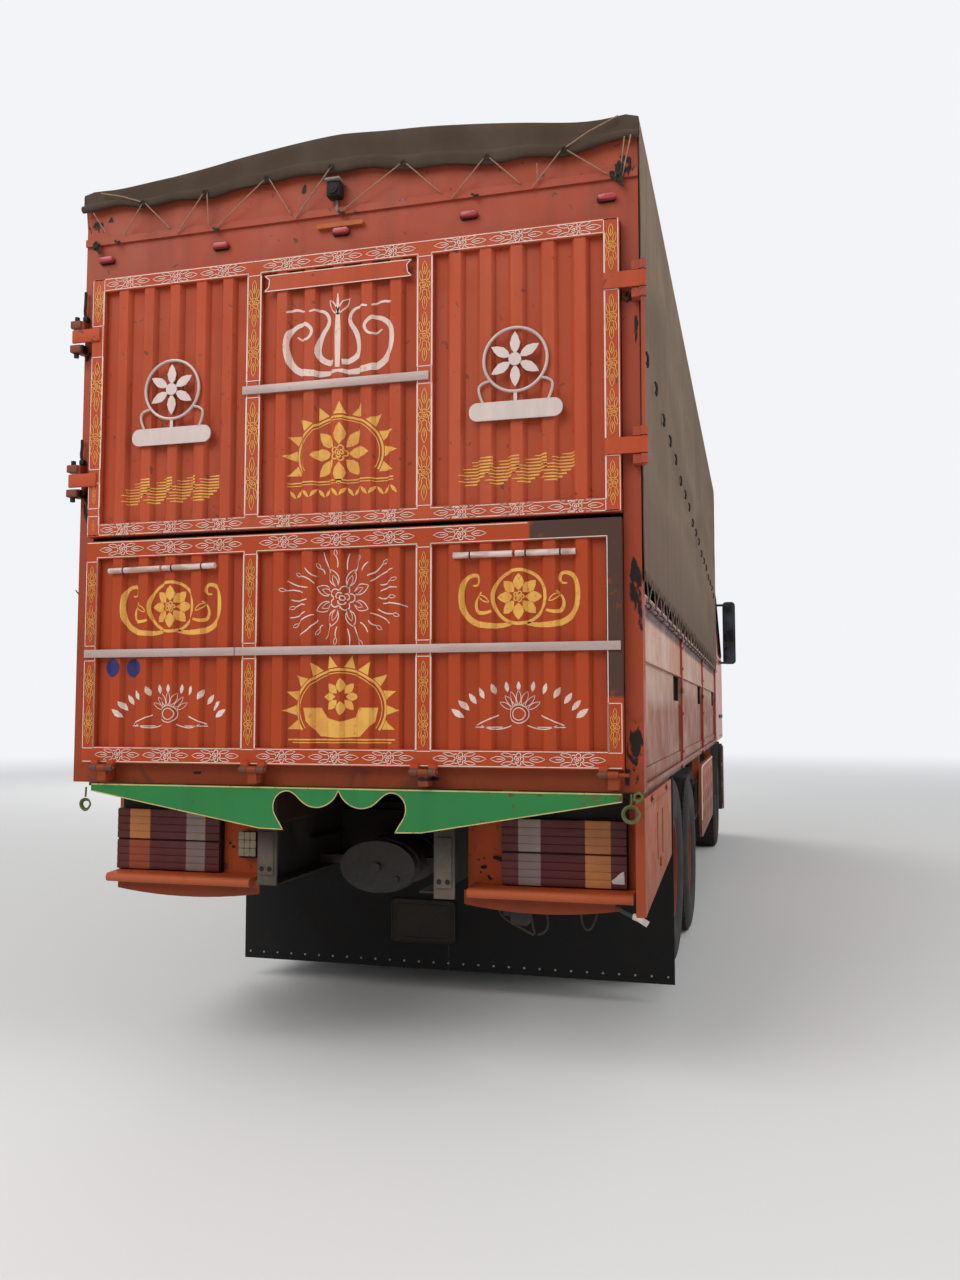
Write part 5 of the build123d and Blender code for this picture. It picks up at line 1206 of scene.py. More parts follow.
edge_line += mirrored([
    [(x, z, 0.0045) for x, z in SCROLL],
    rule((0.243, 1.0475), (0.352, 1.0505), 0.0045), rule((0.352, 1.0505), (1.147, 1.1885), 0.0045),
])
valance_line = bmesh.new()
stamp(valance_line, brushed(edge_line, 8), (VALANCE_MIDDLE, VALANCE_REAR - 0.001, 0))
pale_yellow = worn_paint("pale_yellow_paint", (0.50, 0.40, 0.15), (0.10, 0.20, 0.06), 0.4)
placed("valance_line", facing_back(valance_line), pale_yellow, "chassis")


# Rear lamps: two rows of ribbed lenses a side, in orange pressed boxes with a rolled lip.
# Bands of dark red, amber and clear plastic run down each lens; the boxes carry grime and holes.
LENS_PITCH, LENS_REAR, BOX_FACE = 0.0325, REAR + 0.1995, REAR + 0.2475
# One rib of a lens: share of its pitch, and how deep the surface lies there
LENS_RIB = ((0.0, 0.0032), (0.06, 0.0012), (0.22, 0.0003), (0.5, 0.0), (0.78, 0.0003), (0.94, 0.0012))
LENS_ROWS, LENS_ENDS = ((0.822, 0.951), (0.958, 1.090)), (0.643, 1.155)
lens_mesh = bmesh.new()
for side in (-1, 1):
    left, right = sorted(side * end for end in LENS_ENDS)
    for low, high in LENS_ROWS:
        count = round((high - low) / LENS_PITCH)
        step = (high - low) / count
        section = [(left, LENS_REAR + 0.020, low)]
        section += [
            (left, LENS_REAR + depth, low + (k + part) * step)
            for k in range(count)
            for part, depth in LENS_RIB
        ]
        section += [(left, LENS_REAR + 0.0032, high), (left, LENS_REAR + 0.020, high)]
        drawn_out(lens_mesh, section, (right - left, 0, 0))
lens = Finish("banded_lens", (0.10, 0.014, 0.014), 0.4, gloss=0.2)
across = lens.sum("ABSOLUTE", lens.axis("X"), 0)
is_upper = lens.ramp(lens.axis("Z"), 0.953, 0.957)
is_right = lens.ramp(lens.axis("X"), -0.01, 0.01)
amber = lens.mix(is_upper, (0.27, 0.050, 0.014), (0.45, 0.165, 0.048))
amber = lens.mix(is_right, amber, (0.45, 0.165, 0.050))
dark_red = lens.mix(lens.cloud(8, detail=2), (0.060, 0.007, 0.008), (0.095, 0.011, 0.011))
clear = lens.mix(is_upper, (0.20, 0.14, 0.12), (0.27, 0.20, 0.17))
colours = lens.mix(lens.between(across, 0.989, 1.092), dark_red, amber)
colours = lens.mix(lens.between(across, 0.713, 0.806), colours, clear)
dust = lens.ramp(lens.cloud(6, (1, 1, 0.5), 5), 0.45, 0.75, 0, 0.4)
lens.to("Base Color", lens.mix(dust, colours, (0.11, 0.050, 0.036)))
lens.bump(lens.bands(85, "X"), 0.25, 0.0010)
lens.shader.inputs["Coat Weight"].default_value = 0.08
lens_piece = placed("rear_lenses", closed(lens_mesh), lens, "chassis", 25)
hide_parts("rear_lamps")
lens_backs = bmesh.new()
for left, right in ((-1.158, -0.641), (0.641, 1.158)):
    block(lens_backs, (left, LENS_REAR + 0.0125, 0.8205), (right, BOX_FACE - 0.001, 1.0915), 0.002)
placed("lens_backs", closed(lens_backs), dark_plastic, "chassis")

# The boxes: grime and a painted highlight on the nose of the rolled lip, painted shade on the apron under it,
# and painted shade at the top
box_paint = enamel("lamp_box_enamel", (0.38, 0.060, 0.015), (0.42, 0.082, 0.026), (0.15, 0.040, 0.018), 0.65)
across, along_truck, height = (box_paint.axis(letter) for letter in "XYZ")
lip_grime = box_paint.both(box_paint.ramp(height, 0.770, 0.800, 0.75, 0), box_paint.cloud(9, detail=6))
under = box_paint.mix(lip_grime, box_paint.colour, (0.10, 0.035, 0.020))
# A painted highlight lightens the nose of the rolled lip
nose_highlight = box_paint.ramp(along_truck, REAR + 0.165, REAR + 0.135, 0, 0.55)
under = box_paint.mix(nose_highlight, under, (0.43, 0.105, 0.040))
# Painted shade darkens the apron under the lip
apron_shade = box_paint.ramp(height, 0.758, 0.768, 0.8, 0)
under = box_paint.mix(apron_shade, under, (0.200, 0.040, 0.016))
outward = box_paint.sum("ABSOLUTE", across, 0)
inner_part = box_paint.either(
    box_paint.ramp(outward, 1.160, 1.166, 1, 0), box_paint.ramp(across, -1.140, -1.130, 1, 0),
)
shade = box_paint.both(
    box_paint.ramp(height, 1.088, 1.094), box_paint.ramp(outward, 0.690, 0.720), inner_part,
)
box_paint.to("Base Color", box_paint.mix(shade, under, (0.018, 0.013, 0.012)))
covered(box_paint, "lamp_boxes")

# Holes, as dark plates of painted shade, and bolts on the boxes as x, height and half width, a cable end, and
# a pale scrap on a lens
marks = bmesh.new()
HOLES = (
    (0.534, 0.912, 0.004), (0.557, 0.919, 0.004), (0.583, 0.837, 0.008), (0.576, 0.846, 0.005),
    (0.609, 0.923, 0.009), (0.560, 0.884, 0.009), (0.550, 0.882, 0.008), (0.626, 0.920, 0.007),
    (0.543, 0.861, 0.004), (-0.596, 0.930, 0.007), (-0.613, 0.945, 0.006),
)
for x, z, half in HOLES:
    plate(marks, rounded(x, z, half, half * 0.8, half * 0.7, 3), BOX_FACE - 0.004, BOX_FACE)
cable_end = [[(0.600, REAR + 0.236, 0.926), (0.622, REAR + 0.226, 0.922), (0.642, REAR + 0.232, 0.912)]]
marks.from_mesh(cord_mesh("cable_end", cable_end, 0.006, 1, 3))
placed("box_marks", closed(marks), dark_plastic, "chassis")
scrap = bmesh.new()
torn = [(1.094, 0.854), (1.100, 0.843), (1.147, 0.842), (1.145, 0.893), (1.130, 0.886), (1.112, 0.868)]
plate(scrap, torn, LENS_REAR - 0.002, LENS_REAR)
pale_scrap = Finish("pale_scrap", (0.56, 0.50, 0.46), 0.7)
pale_scrap.clouded(40, (0.36, 0.28, 0.24), (0.66, 0.61, 0.57))
pale_scrap.bump(pale_scrap.cloud(60), 0.3, 0.001)
placed("pale_scrap", closed(scrap), pale_scrap, "chassis")

# Green cord rings hang at both ends of the valance, and frayed cord is tied over the right one
ring_cords = []
for x, z in ((-1.154, 1.128), (1.203, 1.142)):
    for k in range(3):
        reach = (0.026 if x < 0 else 0.034) - 0.003 * k
        circle = []
        for turn in (2 * math.pi * step / 10 for step in range(11)):
            ring_x, ring_z = around(x, z, reach, turn)
            circle.append((ring_x, REAR - 0.047 + 0.004 * k + 0.003 * math.sin(2 * turn), ring_z))
        ring_cords.append(circle)
    ring_cords.append([
        (x, REAR - 0.046, z + 0.034), (x + 0.006, REAR - 0.052, z + 0.052),
        (x + 0.002, REAR - 0.046, z + 0.075),
    ])
for k in range(5):
    tie = [around(1.232, 1.207, 0.020, 1.1 * k + turn) for turn in (0.0, 1.5, 3.0, 4.4, 5.8)]
    ring_cords.append([(tie_x, REAR - 0.040 - 0.003 * k, tie_z) for tie_x, tie_z in tie])
green_cord = Finish("green_cord", (0.075, 0.085, 0.030), 0.9)
green_cord.clouded(35, (0.055, 0.060, 0.028), (0.16, 0.19, 0.065), detail=3)
green_cord.bump(green_cord.bands(110, "DIAGONAL"), 0.6, 0.0015)
corded("ring_cords", ring_cords, 0.0042, green_cord)

# A square work lamp on the left box, its glass in three rows of three cells
work_lamp = bmesh.new()
cells = bmesh.new()
block(work_lamp, (-0.548, REAR + 0.199, 0.886), (-0.462, BOX_FACE, 1.002), 0.010)
for column in range(3):
    for row in range(3):
        x, z = -0.533 + column * 0.028, 0.914 + row * 0.0355
        plate(cells, rounded(x, z, 0.0128, 0.0165, 0.004), REAR + 0.195, REAR + 0.2005)
glass = Finish("cloudy_glass", (0.27, 0.22, 0.13), 0.14)
glass.clouded(30, (0.17, 0.13, 0.075), (0.34, 0.28, 0.18))
glass.bump(glass.bands(120, "X"), 0.3, 0.001)
placed("work_lamp_body", closed(work_lamp), dark_plastic, "chassis")
placed("work_lamp_cells", closed(cells), glass, "chassis")


# Chassis and running gear: black paint under road dirt, dull castings, and rubber.
# Bolts, clamps and pipes finish what the plain solids leave out.
def grimy(name, fresh, dirt, roughness, metallic=0.0, scale=6.0):
    """A dirty working surface: its colour under clouds of road dirt."""
    finish = Finish(name, fresh, roughness, metallic)
    cover = finish.ramp(finish.cloud(scale, detail=7), 0.38, 0.68)
    speckle = finish.ramp(finish.cloud(scale * 9, detail=4), 0.55, 0.75, 0, 0.5)
    finish.colour = finish.mix(speckle, finish.mix(cover, fresh, dirt), dirt)
    finish.to("Base Color", finish.colour)
    finish.to("Roughness", finish.ramp(cover, 0, 1, roughness, min(1.0, roughness + 0.3)))
    finish.bump(finish.cloud(scale * 12, detail=4), 0.35, 0.0015)
    return finish


frame_black = grimy("frame_black", (0.014, 0.012, 0.011), (0.038, 0.028, 0.022), 0.65)
cast_grey = grimy("cast_grey", (0.034, 0.030, 0.028), (0.070, 0.052, 0.040), 0.65, 0.2)
bright_tank = grimy("tank_aluminium", (0.33, 0.32, 0.31), (0.20, 0.17, 0.145), 0.38, 0.7, 3.0)
dark_tank = grimy("dark_tank", (0.020, 0.018, 0.017), (0.050, 0.040, 0.032), 0.5)
rubber = grimy("flap_rubber", (0.0065, 0.0065, 0.0070), (0.0150, 0.0135, 0.0125), 0.8)
covered(frame_black, "chassis_rails", "cross_members", "leaf_springs", "propeller_shaft")
covered(cast_grey, "engine", "front_axle", "drive_axle", "tag_axle")
covered(cast_grey, "knuckle_left", "knuckle_right", "tie_rod")
covered(bright_tank, "fuel_tank")
covered(grimy("hot_silencer", (0.11, 0.085, 0.070), (0.16, 0.085, 0.055), 0.7, 0.3), "silencer")
covered(dark_tank, "air_tanks")
covered(rubber, "mud_flaps")

# Spring clamps over each axle, as its place and the height of the plate; tank straps and frame bolts
SPRING_X, SPRING_SEATS = 0.36, ((-2.632, 0.747), (-1.282, 0.692), (3.518, 0.662))
running = bmesh.new()
for axle_y, seat in SPRING_SEATS:
    for spring_x in (-SPRING_X, SPRING_X):
        for y in (axle_y - 0.075, axle_y + 0.075):
            for x in (spring_x - 0.048, spring_x + 0.048):
                bar(running, (x, y, seat - 0.20), (x, y, seat + 0.012), 0.010, 8)
        low = (spring_x - 0.056, axle_y - 0.09, seat)
        block(running, low, (spring_x + 0.056, axle_y + 0.09, seat + 0.014), 0.003)
for y in (REAR + 4.75, REAR + 5.32, REAR + 5.90):
    block(running, (0.446, y - 0.02, 0.566), (1.154, y + 0.02, 0.569), 0.0005)
    block(running, (1.1505, y - 0.02, 0.66), (1.1535, y + 0.02, 0.92), 0.0005)
for side in (-1, 1):
    for k in range(26):
        y = REAR + 0.25 + k * 0.365
        for z in (0.835, 1.015):
            bar(running, (side * 0.400, y, z), (side * 0.407, y, z), 0.010, 6)
placed("running_gear_fittings", closed(running), frame_black, "chassis")

# Air pipes along both rails and up from the axles, thin ones at a valve, and a short hanging cable
pipes = [
    [(-0.378, REAR + 0.60, 0.93), (-0.378, REAR + 2.6, 0.90), (-0.378, REAR + 5.2, 0.93),
     (-0.378, REAR + 6.8, 0.90)],
    [(0.378, REAR + 0.90, 0.95), (0.378, REAR + 3.0, 0.92), (0.378, REAR + 5.0, 0.95),
     (0.378, REAR + 6.9, 0.93)],
    [(0.0, -2.55, 0.700), (0.02, -2.45, 0.80), (-0.12, -2.3, 0.90), (-0.376, -2.2, 0.92)],
    [(0.0, -1.18, 0.735), (0.10, -1.05, 0.85), (0.24, -0.9, 0.93), (0.376, -0.8, 0.94)],
]
corded("air_pipes", pipes, 0.011, rubber, 2)
thin_pipes = [
    [(0.600, REAR + 0.300, 0.725), (0.612, REAR + 0.300, 0.675), (0.680, REAR + 0.302, 0.640),
     (0.755, REAR + 0.300, 0.604)],
    [(0.735, REAR + 0.300, 0.735), (0.741, REAR + 0.305, 0.680), (0.760, REAR + 0.300, 0.606)],
    [(0.790, REAR + 0.320, 0.735), (0.825, REAR + 0.300, 0.660), (0.800, REAR + 0.300, 0.610),
     (0.770, REAR + 0.310, 0.605)],
    [(0.955, REAR + 0.300, 0.740), (0.950, REAR + 0.302, 0.655), (1.000, REAR + 0.300, 0.620),
     (1.030, REAR + 0.300, 0.735)],
]
corded("thin_pipes", thin_pipes, 0.0045, cast_grey)
valve = bmesh.new()
block(valve, (0.655, REAR + 0.290, 0.640), (0.735, REAR + 0.350, 0.760), 0.012)
bar(valve, (0.655, REAR + 0.320, 0.690), (0.615, REAR + 0.320, 0.690), 0.016, 10)
placed("air_valve", closed(valve), dark_tank, "chassis")
cable = [[
    (1.105, REAR + 0.190, 0.790), (1.127, REAR + 0.130, 0.759), (1.169, REAR + 0.120, 0.740),
    (1.196, REAR + 0.115, 0.731),
]]
corded("hanging_cable", cable, 0.008, cast_grey, 2)
wrapped = [[
    (1.190, REAR + 0.118, 0.734), (1.212, REAR + 0.112, 0.729), (1.228, REAR + 0.112, 0.718),
    (1.246, REAR + 0.110, 0.708),
]]
corded("cable_wrap", wrapped, 0.013, pale_scrap, 2)

# Rear ends of the frame: left and right edge of each bracket, and its foot, with two bolt holes shown as dark
# discs of painted shade
END_PLATES = ((-0.400, -0.312, 0.795), (0.386, 0.474, 0.772))
ends = bmesh.new()
for left, right, foot in END_PLATES:
    block(ends, (left, REAR + 0.085, foot), (right, REAR + 0.100, 1.075), 0.003)
    block(ends, (left + 0.010, REAR + 0.075, foot + 0.045), (right - 0.010, REAR + 0.088, 1.020), 0.003)
end_grey = grimy("frame_end_grey", (0.070, 0.056, 0.046), (0.135, 0.108, 0.086), 0.75)
lower = end_grey.ramp(end_grey.axis("Z"), 0.90, 1.02, 0, 0.75)
end_grey.to("Base Color", end_grey.mix(lower, end_grey.colour, (0.040, 0.029, 0.023)))
placed("frame_ends", closed(ends), end_grey, "chassis")
end_hole_shades = bmesh.new()
for left, right, foot in END_PLATES:
    for across in (-0.018, 0.018):
        x = (left + right) / 2 + across
        bar(end_hole_shades, (x, REAR + 0.0735, foot + 0.070), (x, REAR + 0.0765, foot + 0.070), 0.011, 12)
placed("frame_end_hole_shades", closed(end_hole_shades), dark_plastic, "chassis")

# Bands and plugs on the oval air tank at the rear
TANK_X, TANK_Z = -0.034, 0.817
tank_bands = bmesh.new()
oval = [around(TANK_X, TANK_Z, 0.186, 2 * math.pi * k / 16, 0.122) for k in range(16)]
for y in (REAR + 0.62, REAR + 0.90):
    path = [(oval_x, y, oval_z) for oval_x, oval_z in oval]
    tank_bands.from_mesh(cord_mesh("tank_band", [path], 0.007, 1, 3, True))
bar(tank_bands, (TANK_X, REAR + 0.540, TANK_Z), (TANK_X, REAR + 0.562, TANK_Z), 0.022, 6)
bar(tank_bands, (0.06, REAR + 0.548, 0.765), (0.06, REAR + 0.562, 0.765), 0.014, 6)
placed("tank_bands", closed(tank_bands), dark_tank, "chassis")

# A blank dark plate with two raised borders hangs low between the wheels
PLATE_X, PLATE_Z, PLATE_FACE = -0.143, 0.372, REAR + 1.585
blank_plate = bmesh.new()
plate(blank_plate, rounded(PLATE_X, PLATE_Z, 0.185, 0.118, 0.030), PLATE_FACE, PLATE_FACE + 0.004)
for inset, thick in ((0.0, 0.0045), (0.024, 0.0030)):
    outline = rounded(PLATE_X, PLATE_Z, 0.181 - inset, 0.114 - inset, 0.028)
    border = [(x, PLATE_FACE - 0.001, z) for x, z in outline]
    blank_plate.from_mesh(cord_mesh("plate_border", [border], thick, 1, 3, True))
plate_brown = grimy("blank_plate_brown", (0.022, 0.018, 0.014), (0.046, 0.036, 0.028), 0.7)
placed("blank_plate", closed(blank_plate), plate_brown, "chassis")

# Mud flap: bright rivets and a strip along its bottom, and a bolted clamp bar at its top
FLAP_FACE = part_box("mud_flaps")[0][1]
FLAP_RIVETS, RIVET_SPAN = 29, 2.39
rivets = bmesh.new()
for k in range(FLAP_RIVETS):
    x = RIVET_SPAN * (k / (FLAP_RIVETS - 1) - 0.5)
    bar(rivets, (x, FLAP_FACE - 0.004, 0.148), (x, FLAP_FACE + 0.001, 0.148), 0.0040, 10, 0.0068)
bright = Finish("bright_rivet", (0.55, 0.50, 0.45), 0.35, 0.7)
bright.clouded(80, (0.30, 0.26, 0.22), (0.52, 0.48, 0.44))
placed("flap_rivets", closed(rivets), bright, "chassis")
clamp = bmesh.new()
for side in (-1, 1):
    block(clamp, (side * 0.415, FLAP_FACE - 0.006, 1.140), (side * 1.225, FLAP_FACE + 0.001, 1.175), 0.002)
    block(clamp, (side * 0.006, FLAP_FACE - 0.003, 0.120), (side * 1.226, FLAP_FACE + 0.001, 0.130), 0.001)
    for k in range(5):
        x = side * (0.47 + k * 0.18)
        bar(clamp, (x, FLAP_FACE - 0.012, 1.158), (x, FLAP_FACE - 0.004, 1.158), 0.010, 6)
placed("flap_clamps", closed(clamp), rubber, "chassis")


# Body sides: sheet steel under faded, pinkish enamel that loads have scrubbed grey.
# The removable posts stay red; rope hooks and bolted straps are fixed along the sides.
POST_YS = (REAR + 2.20, REAR + 4.59, REAR + 7.07)
side_paint = enamel("side_enamel", (0.43, 0.205, 0.135), (0.50, 0.335, 0.262), (0.26, 0.115, 0.075), 0.5)
across, along_truck, height = (side_paint.axis(letter) for letter in "XYZ")
outward = side_paint.sum("ABSOLUTE", across, 0)
above_ledge = side_paint.ramp(height, 1.60, 1.75)
side_tone = side_paint.mix(above_ledge, (0.24, 0.082, 0.048), side_paint.colour)
scrub = side_paint.ramp(side_paint.cloud(3.0, (1, 0.35, 1.4), 8, 0.7), 0.52, 0.66, 0, 0.7)
side_tone = side_paint.mix(scrub, side_tone, (0.37, 0.230, 0.172))
near_end = side_paint.both(
    side_paint.ramp(along_truck, REAR + 0.9, REAR + 2.1, 0.8, 0),
    side_paint.between(height, 1.56, 1.73, 0.03),
)
side_tone = side_paint.mix(near_end, side_tone, (0.40, 0.26, 0.185))
splash = side_paint.ramp(height, 1.23, 1.50, 0.6, 0)
side_tone = side_paint.mix(splash, side_tone, (0.19, 0.062, 0.032))
underside = side_paint.ramp(height, 1.205, 1.215, 0.93, 0)
side_tone = side_paint.mix(underside, side_tone, (0.020, 0.015, 0.012))
# Painted shade under the top rail, pale worn edges at its top and at the rear, painted shade in the pockets,
# and the posts
outer = side_paint.ramp(outward, 1.225, 1.229)
rail_shade = side_paint.both(side_paint.between(height, 1.905, 1.984, 0.012), outer)
side_tone = side_paint.mix(rail_shade, side_tone, (0.085, 0.032, 0.022))
pale_edge = side_paint.either(
    side_paint.ramp(height, 1.984, 1.987), side_paint.ramp(along_truck, REAR + 0.108, REAR + 0.114, 1, 0),
)
pale_edge = side_paint.both(pale_edge, side_paint.ramp(height, 1.21, 1.22, 0, 0.8), outer)
side_tone = side_paint.mix(pale_edge, side_tone, (0.55, 0.37, 0.30))
pocket_shade = side_paint.both(
    side_paint.between(outward, 1.202, 1.224), side_paint.between(height, 1.588, 1.732),
)
side_tone = side_paint.mix(pocket_shade, side_tone, (0.030, 0.015, 0.012))
posts = side_paint.either(
    *(side_paint.between(along_truck, y - 0.0405, y + 0.0405, 0.0005) for y in POST_YS)
)
posts = side_paint.both(posts, side_paint.ramp(outward, 1.2385, 1.2395, 0, 0.85))
side_paint.to("Base Color", side_paint.mix(posts, side_tone, (0.33, 0.050, 0.028)))
covered(side_paint, "side_walls", "bed", "front_wall")
inner_paint = enamel("roof_frame_enamel", (0.30, 0.09, 0.05), (0.30, 0.13, 0.09), (0.14, 0.07, 0.05), 0.5)
covered(inner_paint, "roof_bows", "body_pillars")

# A hook for every dip of the side rope: how far out, and height
HOOK_LINE = ((1.249, 1.962), (1.264, 1.958), (1.270, 1.945), (1.262, 1.933), (1.254, 1.938))
hooks = [
    [(side * out, REAR + 0.15 + k * LOOP_PITCH, z) for out, z in HOOK_LINE]
    for side in (-1, 1)
    for k in range(LOOPS)
]
corded("rope_hooks", hooks, 0.0026, dark_plastic)

# A round rail along the bottom of each side, and bolts and straps on the posts
rails = bmesh.new()
for side in (-1, 1):
    bar(rails, (side * 1.250, REAR + 0.10, 1.240), (side * 1.250, REAR + 7.19, 1.240), 0.010, 10)
    for y in POST_YS:
        for z in (1.30, 1.52, 1.78, 1.90):
            bar(rails, (side * 1.248, y - 0.020, z), (side * 1.256, y - 0.020, z), 0.009, 6)
        block(rails, (side * 1.249, y - 0.052, 1.640), (side * 1.257, y + 0.052, 1.668), 0.002)
        block(rails, (side * 1.249, y - 0.052, 1.935), (side * 1.257, y + 0.052, 1.960), 0.002)
placed("side_fittings", closed(rails), side_paint, "chassis")

# Side lockers and skirts: pressed steel under orange enamel, dirty low down.
# Door joints are fine dark lines, dark backs of painted shade stand in the slots, and the hinges are welded
# on.
locker_paint = enamel("locker_enamel", (0.29, 0.060, 0.018), (0.31, 0.082, 0.032), (0.15, 0.042, 0.020), 0.7)
along_truck, height = (locker_paint.axis(letter) for letter in "YZ")
low_dirt = locker_paint.ramp(height, 0.60, 1.05, 0.75, 0)
locker_side = locker_paint.mix(low_dirt, locker_paint.colour, (0.14, 0.062, 0.038))
rear_end = locker_paint.ramp(along_truck, REAR + 0.004, REAR + 0.010, 0.85, 0)
joint_places = (
    (along_truck, REAR + 0.42), (along_truck, REAR + 0.86), (along_truck, REAR + 1.22), (height, 1.155),
)
joints = locker_paint.either(
    *(locker_paint.between(value, place - 0.0025, place + 0.0025) for value, place in joint_places)
)
joints = locker_paint.both(joints, locker_paint.ramp(along_truck, REAR + 1.25, REAR + 1.26, 0.85, 0))
locker_side = locker_paint.mix(joints, locker_side, (0.050, 0.022, 0.015))
locker_paint.to("Base Color", locker_paint.mix(rear_end, locker_side, (0.30, 0.052, 0.018)))
covered(locker_paint, "side_lockers", "side_skirts")

# A pale line along the edge of each skirt, dark backs of painted shade in the locker slots, hinges and a
# latch
skirt_edges = []
for side in (-1, 1):
    x = side * 1.2435
    skirt_edges.append([
        (x, REAR + 4.275, 0.70), (x, REAR + 4.275, 1.03), (x, REAR + 4.30, 1.085), (x, REAR + 4.36, 1.106),
        (x, REAR + 5.2, 1.106), (x, REAR + 6.20, 1.106),
    ])
corded("skirt_edges", skirt_edges, 0.0055, white_paint)
slot_shade_backs = bmesh.new()
for side in (-1, 1):
    for y in (REAR + 0.52, REAR + 0.76):
        block(slot_shade_backs, (side * 1.2145, y - 0.0178, 0.9002), (side * 1.2185, y + 0.0178, 1.0998), 0.0005)
placed("locker_slot_shade_backs", closed(slot_shade_backs), dark_plastic, "chassis")
locker_parts = bmesh.new()
for side in (-1, 1):
    for y in (REAR + (0.30 if side > 0 else 0.50), REAR + 0.98):
        block(locker_parts, (side * 1.249, y - 0.05, 1.165), (side * 1.256, y + 0.05, 1.190), 0.002)
        bar(locker_parts, (side * 1.253, y - 0.05, 1.178), (side * 1.253, y + 0.05, 1.178), 0.008, 10)
    block(locker_parts, (side * 1.249, REAR + 0.62, 0.86), (side * 1.257, REAR + 0.66, 0.90), 0.003)
placed("locker_hinges", closed(locker_parts), locker_paint, "chassis")


# Wheels: radial tyres spun from one section, with blocks of tread, in dusty rubber.
# The steel rims are painted, and each hub has a cap with bolts and ten nuts round it.
tyre_rubber = Finish("tyre_rubber", (0.020, 0.017, 0.015), 0.8)
tread_dust = tyre_rubber.ramp(tyre_rubber.cloud(5, detail=7), 0.35, 0.7)
tyre_rubber.to("Base Color", tyre_rubber.mix(tread_dust, (0.010, 0.009, 0.008), (0.028, 0.021, 0.016)))
tyre_rubber.bump(tyre_rubber.cloud(60, detail=4), 0.3, 0.0015)
rim_paint = enamel("rim_enamel", (0.30, 0.055, 0.022), (0.27, 0.085, 0.050), (0.090, 0.050, 0.036), 0.7)
# Half of a tyre's section, from its bead to the middle of its tread: x from its middle, and radius
HALF_TYRE = (
    (0.118, 0.286), (0.128, 0.305), (0.138, 0.345), (0.1445, 0.400), (0.1440, 0.440), (0.137, 0.480),
    (0.128, 0.507), (0.118, 0.521), (0.096, 0.5225), (0.056, 0.5235), (0.016, 0.524),
)
TYRE_SECTION = tuple((-x, reach) for x, reach in HALF_TYRE) + HALF_TYRE[::-1]
TREAD_STEPS, TREAD_RADIUS = 60, 0.5190
NUTS, NUT_CIRCLE = 10, 0.1675
CAP_BOLTS, CAP_CIRCLE = 6, 0.052
# Wheels: axle, place along the truck, height, tyres' middles, and outer face of the rim's disc
WHEELS = (
    ("front", 3.518, 0.535, (1.060,), 1.126),
    ("drive", -1.282, 0.535, (1.060, 0.725), 0.898),
    ("tag", -2.632, 0.615, (1.060, 0.725), 0.898),
)
for axle, wheel_y, wheel_z, middles, disc_x in WHEELS:
    for name, side in (("left", -1), ("right", 1)):
        body = f"{axle}_wheel_{name}"
        tyre = bmesh.new()
        for middle in middles:
            points = [(side * middle + x, wheel_y, wheel_z + reach) for x, reach in TYRE_SECTION]
            corners = [tyre.verts.new(point) for point in points]
            section = [tyre.edges.new(pair) for pair in zip(corners, corners[1:])]
            bmesh.ops.spin(
                tyre, geom=corners + section, cent=(0, wheel_y, wheel_z), axis=(1, 0, 0),
                angle=2 * math.pi, steps=TREAD_STEPS, use_merge=True,
            )
        bmesh.ops.recalc_face_normals(tyre, faces=tyre.faces)
        axis = Vector((0, wheel_y, wheel_z))
        middles_of = [(face, face.calc_center_median() * Vector((0, 1, 1))) for face in tyre.faces]
        tread = [face for face, centre in middles_of if (centre - axis).length > TREAD_RADIUS]
        bmesh.ops.inset_individual(tyre, faces=tread, thickness=0.0045, depth=0.0095, use_even_offset=True)
        bmesh.ops.recalc_face_normals(tyre, faces=tyre.faces)
        piece = placed(f"{axle}_tread_{name}", tyre, tyre_rubber, body, 30)
        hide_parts(f"{axle}_tyre_{name}")

        covered(rim_paint, f"{axle}_rim_{name}")
        nuts = bmesh.new()
        for k in range(NUTS):
            y, z = around(wheel_y, wheel_z, NUT_CIRCLE, 2 * math.pi * (k + 0.5) / NUTS)
            bar(nuts, (side * disc_x, y, z), (side * (disc_x + 0.030), y, z), 0.016, 6)
            bar(nuts, (side * (disc_x + 0.030), y, z), (side * (disc_x + 0.042), y, z), 0.009, 8)
        bar(nuts, (side * 1.150, wheel_y, wheel_z), (side * 1.168, wheel_y, wheel_z), 0.080, 24, 0.066)
        for k in range(CAP_BOLTS):
            y, z = around(wheel_y, wheel_z, CAP_CIRCLE, 2 * math.pi * k / CAP_BOLTS)
            bar(nuts, (side * 1.166, y, z), (side * 1.173, y, z), 0.007, 6)
        placed(f"{axle}_nuts_{name}", closed(nuts), cast_grey, body)


# Cab: pressed steel panels under the truck's orange enamel, with black trim and tinted glass.
# Rubber seals hold the windows; handles, wipers, roof lamps and a sun visor are screwed on.
cab_paint = enamel("cab_enamel", (0.40, 0.085, 0.030), (0.42, 0.120, 0.060), (0.20, 0.075, 0.045), 0.35)
cab_dirt = cab_paint.ramp(cab_paint.axis("Z"), 1.20, 1.75, 0.5, 0)
cab_paint.to("Base Color", cab_paint.mix(cab_dirt, cab_paint.colour, (0.17, 0.080, 0.052)))
cab_paint.shader.inputs["Coat Weight"].default_value = 0.25
covered(cab_paint, "cab_shell", "cab_roof", "cab_floor", "door_left", "door_right", "bumper")
trim = grimy("black_trim", (0.022, 0.020, 0.019), (0.060, 0.050, 0.042), 0.55)
covered(trim, "steps", "grille", "mirror_left", "mirror_right", "dashboard", "steering_wheel")
window = Finish("window_glass", (0.055, 0.065, 0.062), 0.06)
window.clouded(3, (0.045, 0.055, 0.053), (0.085, 0.090, 0.082))
window.shader.inputs["Transmission Weight"].default_value = 0.75
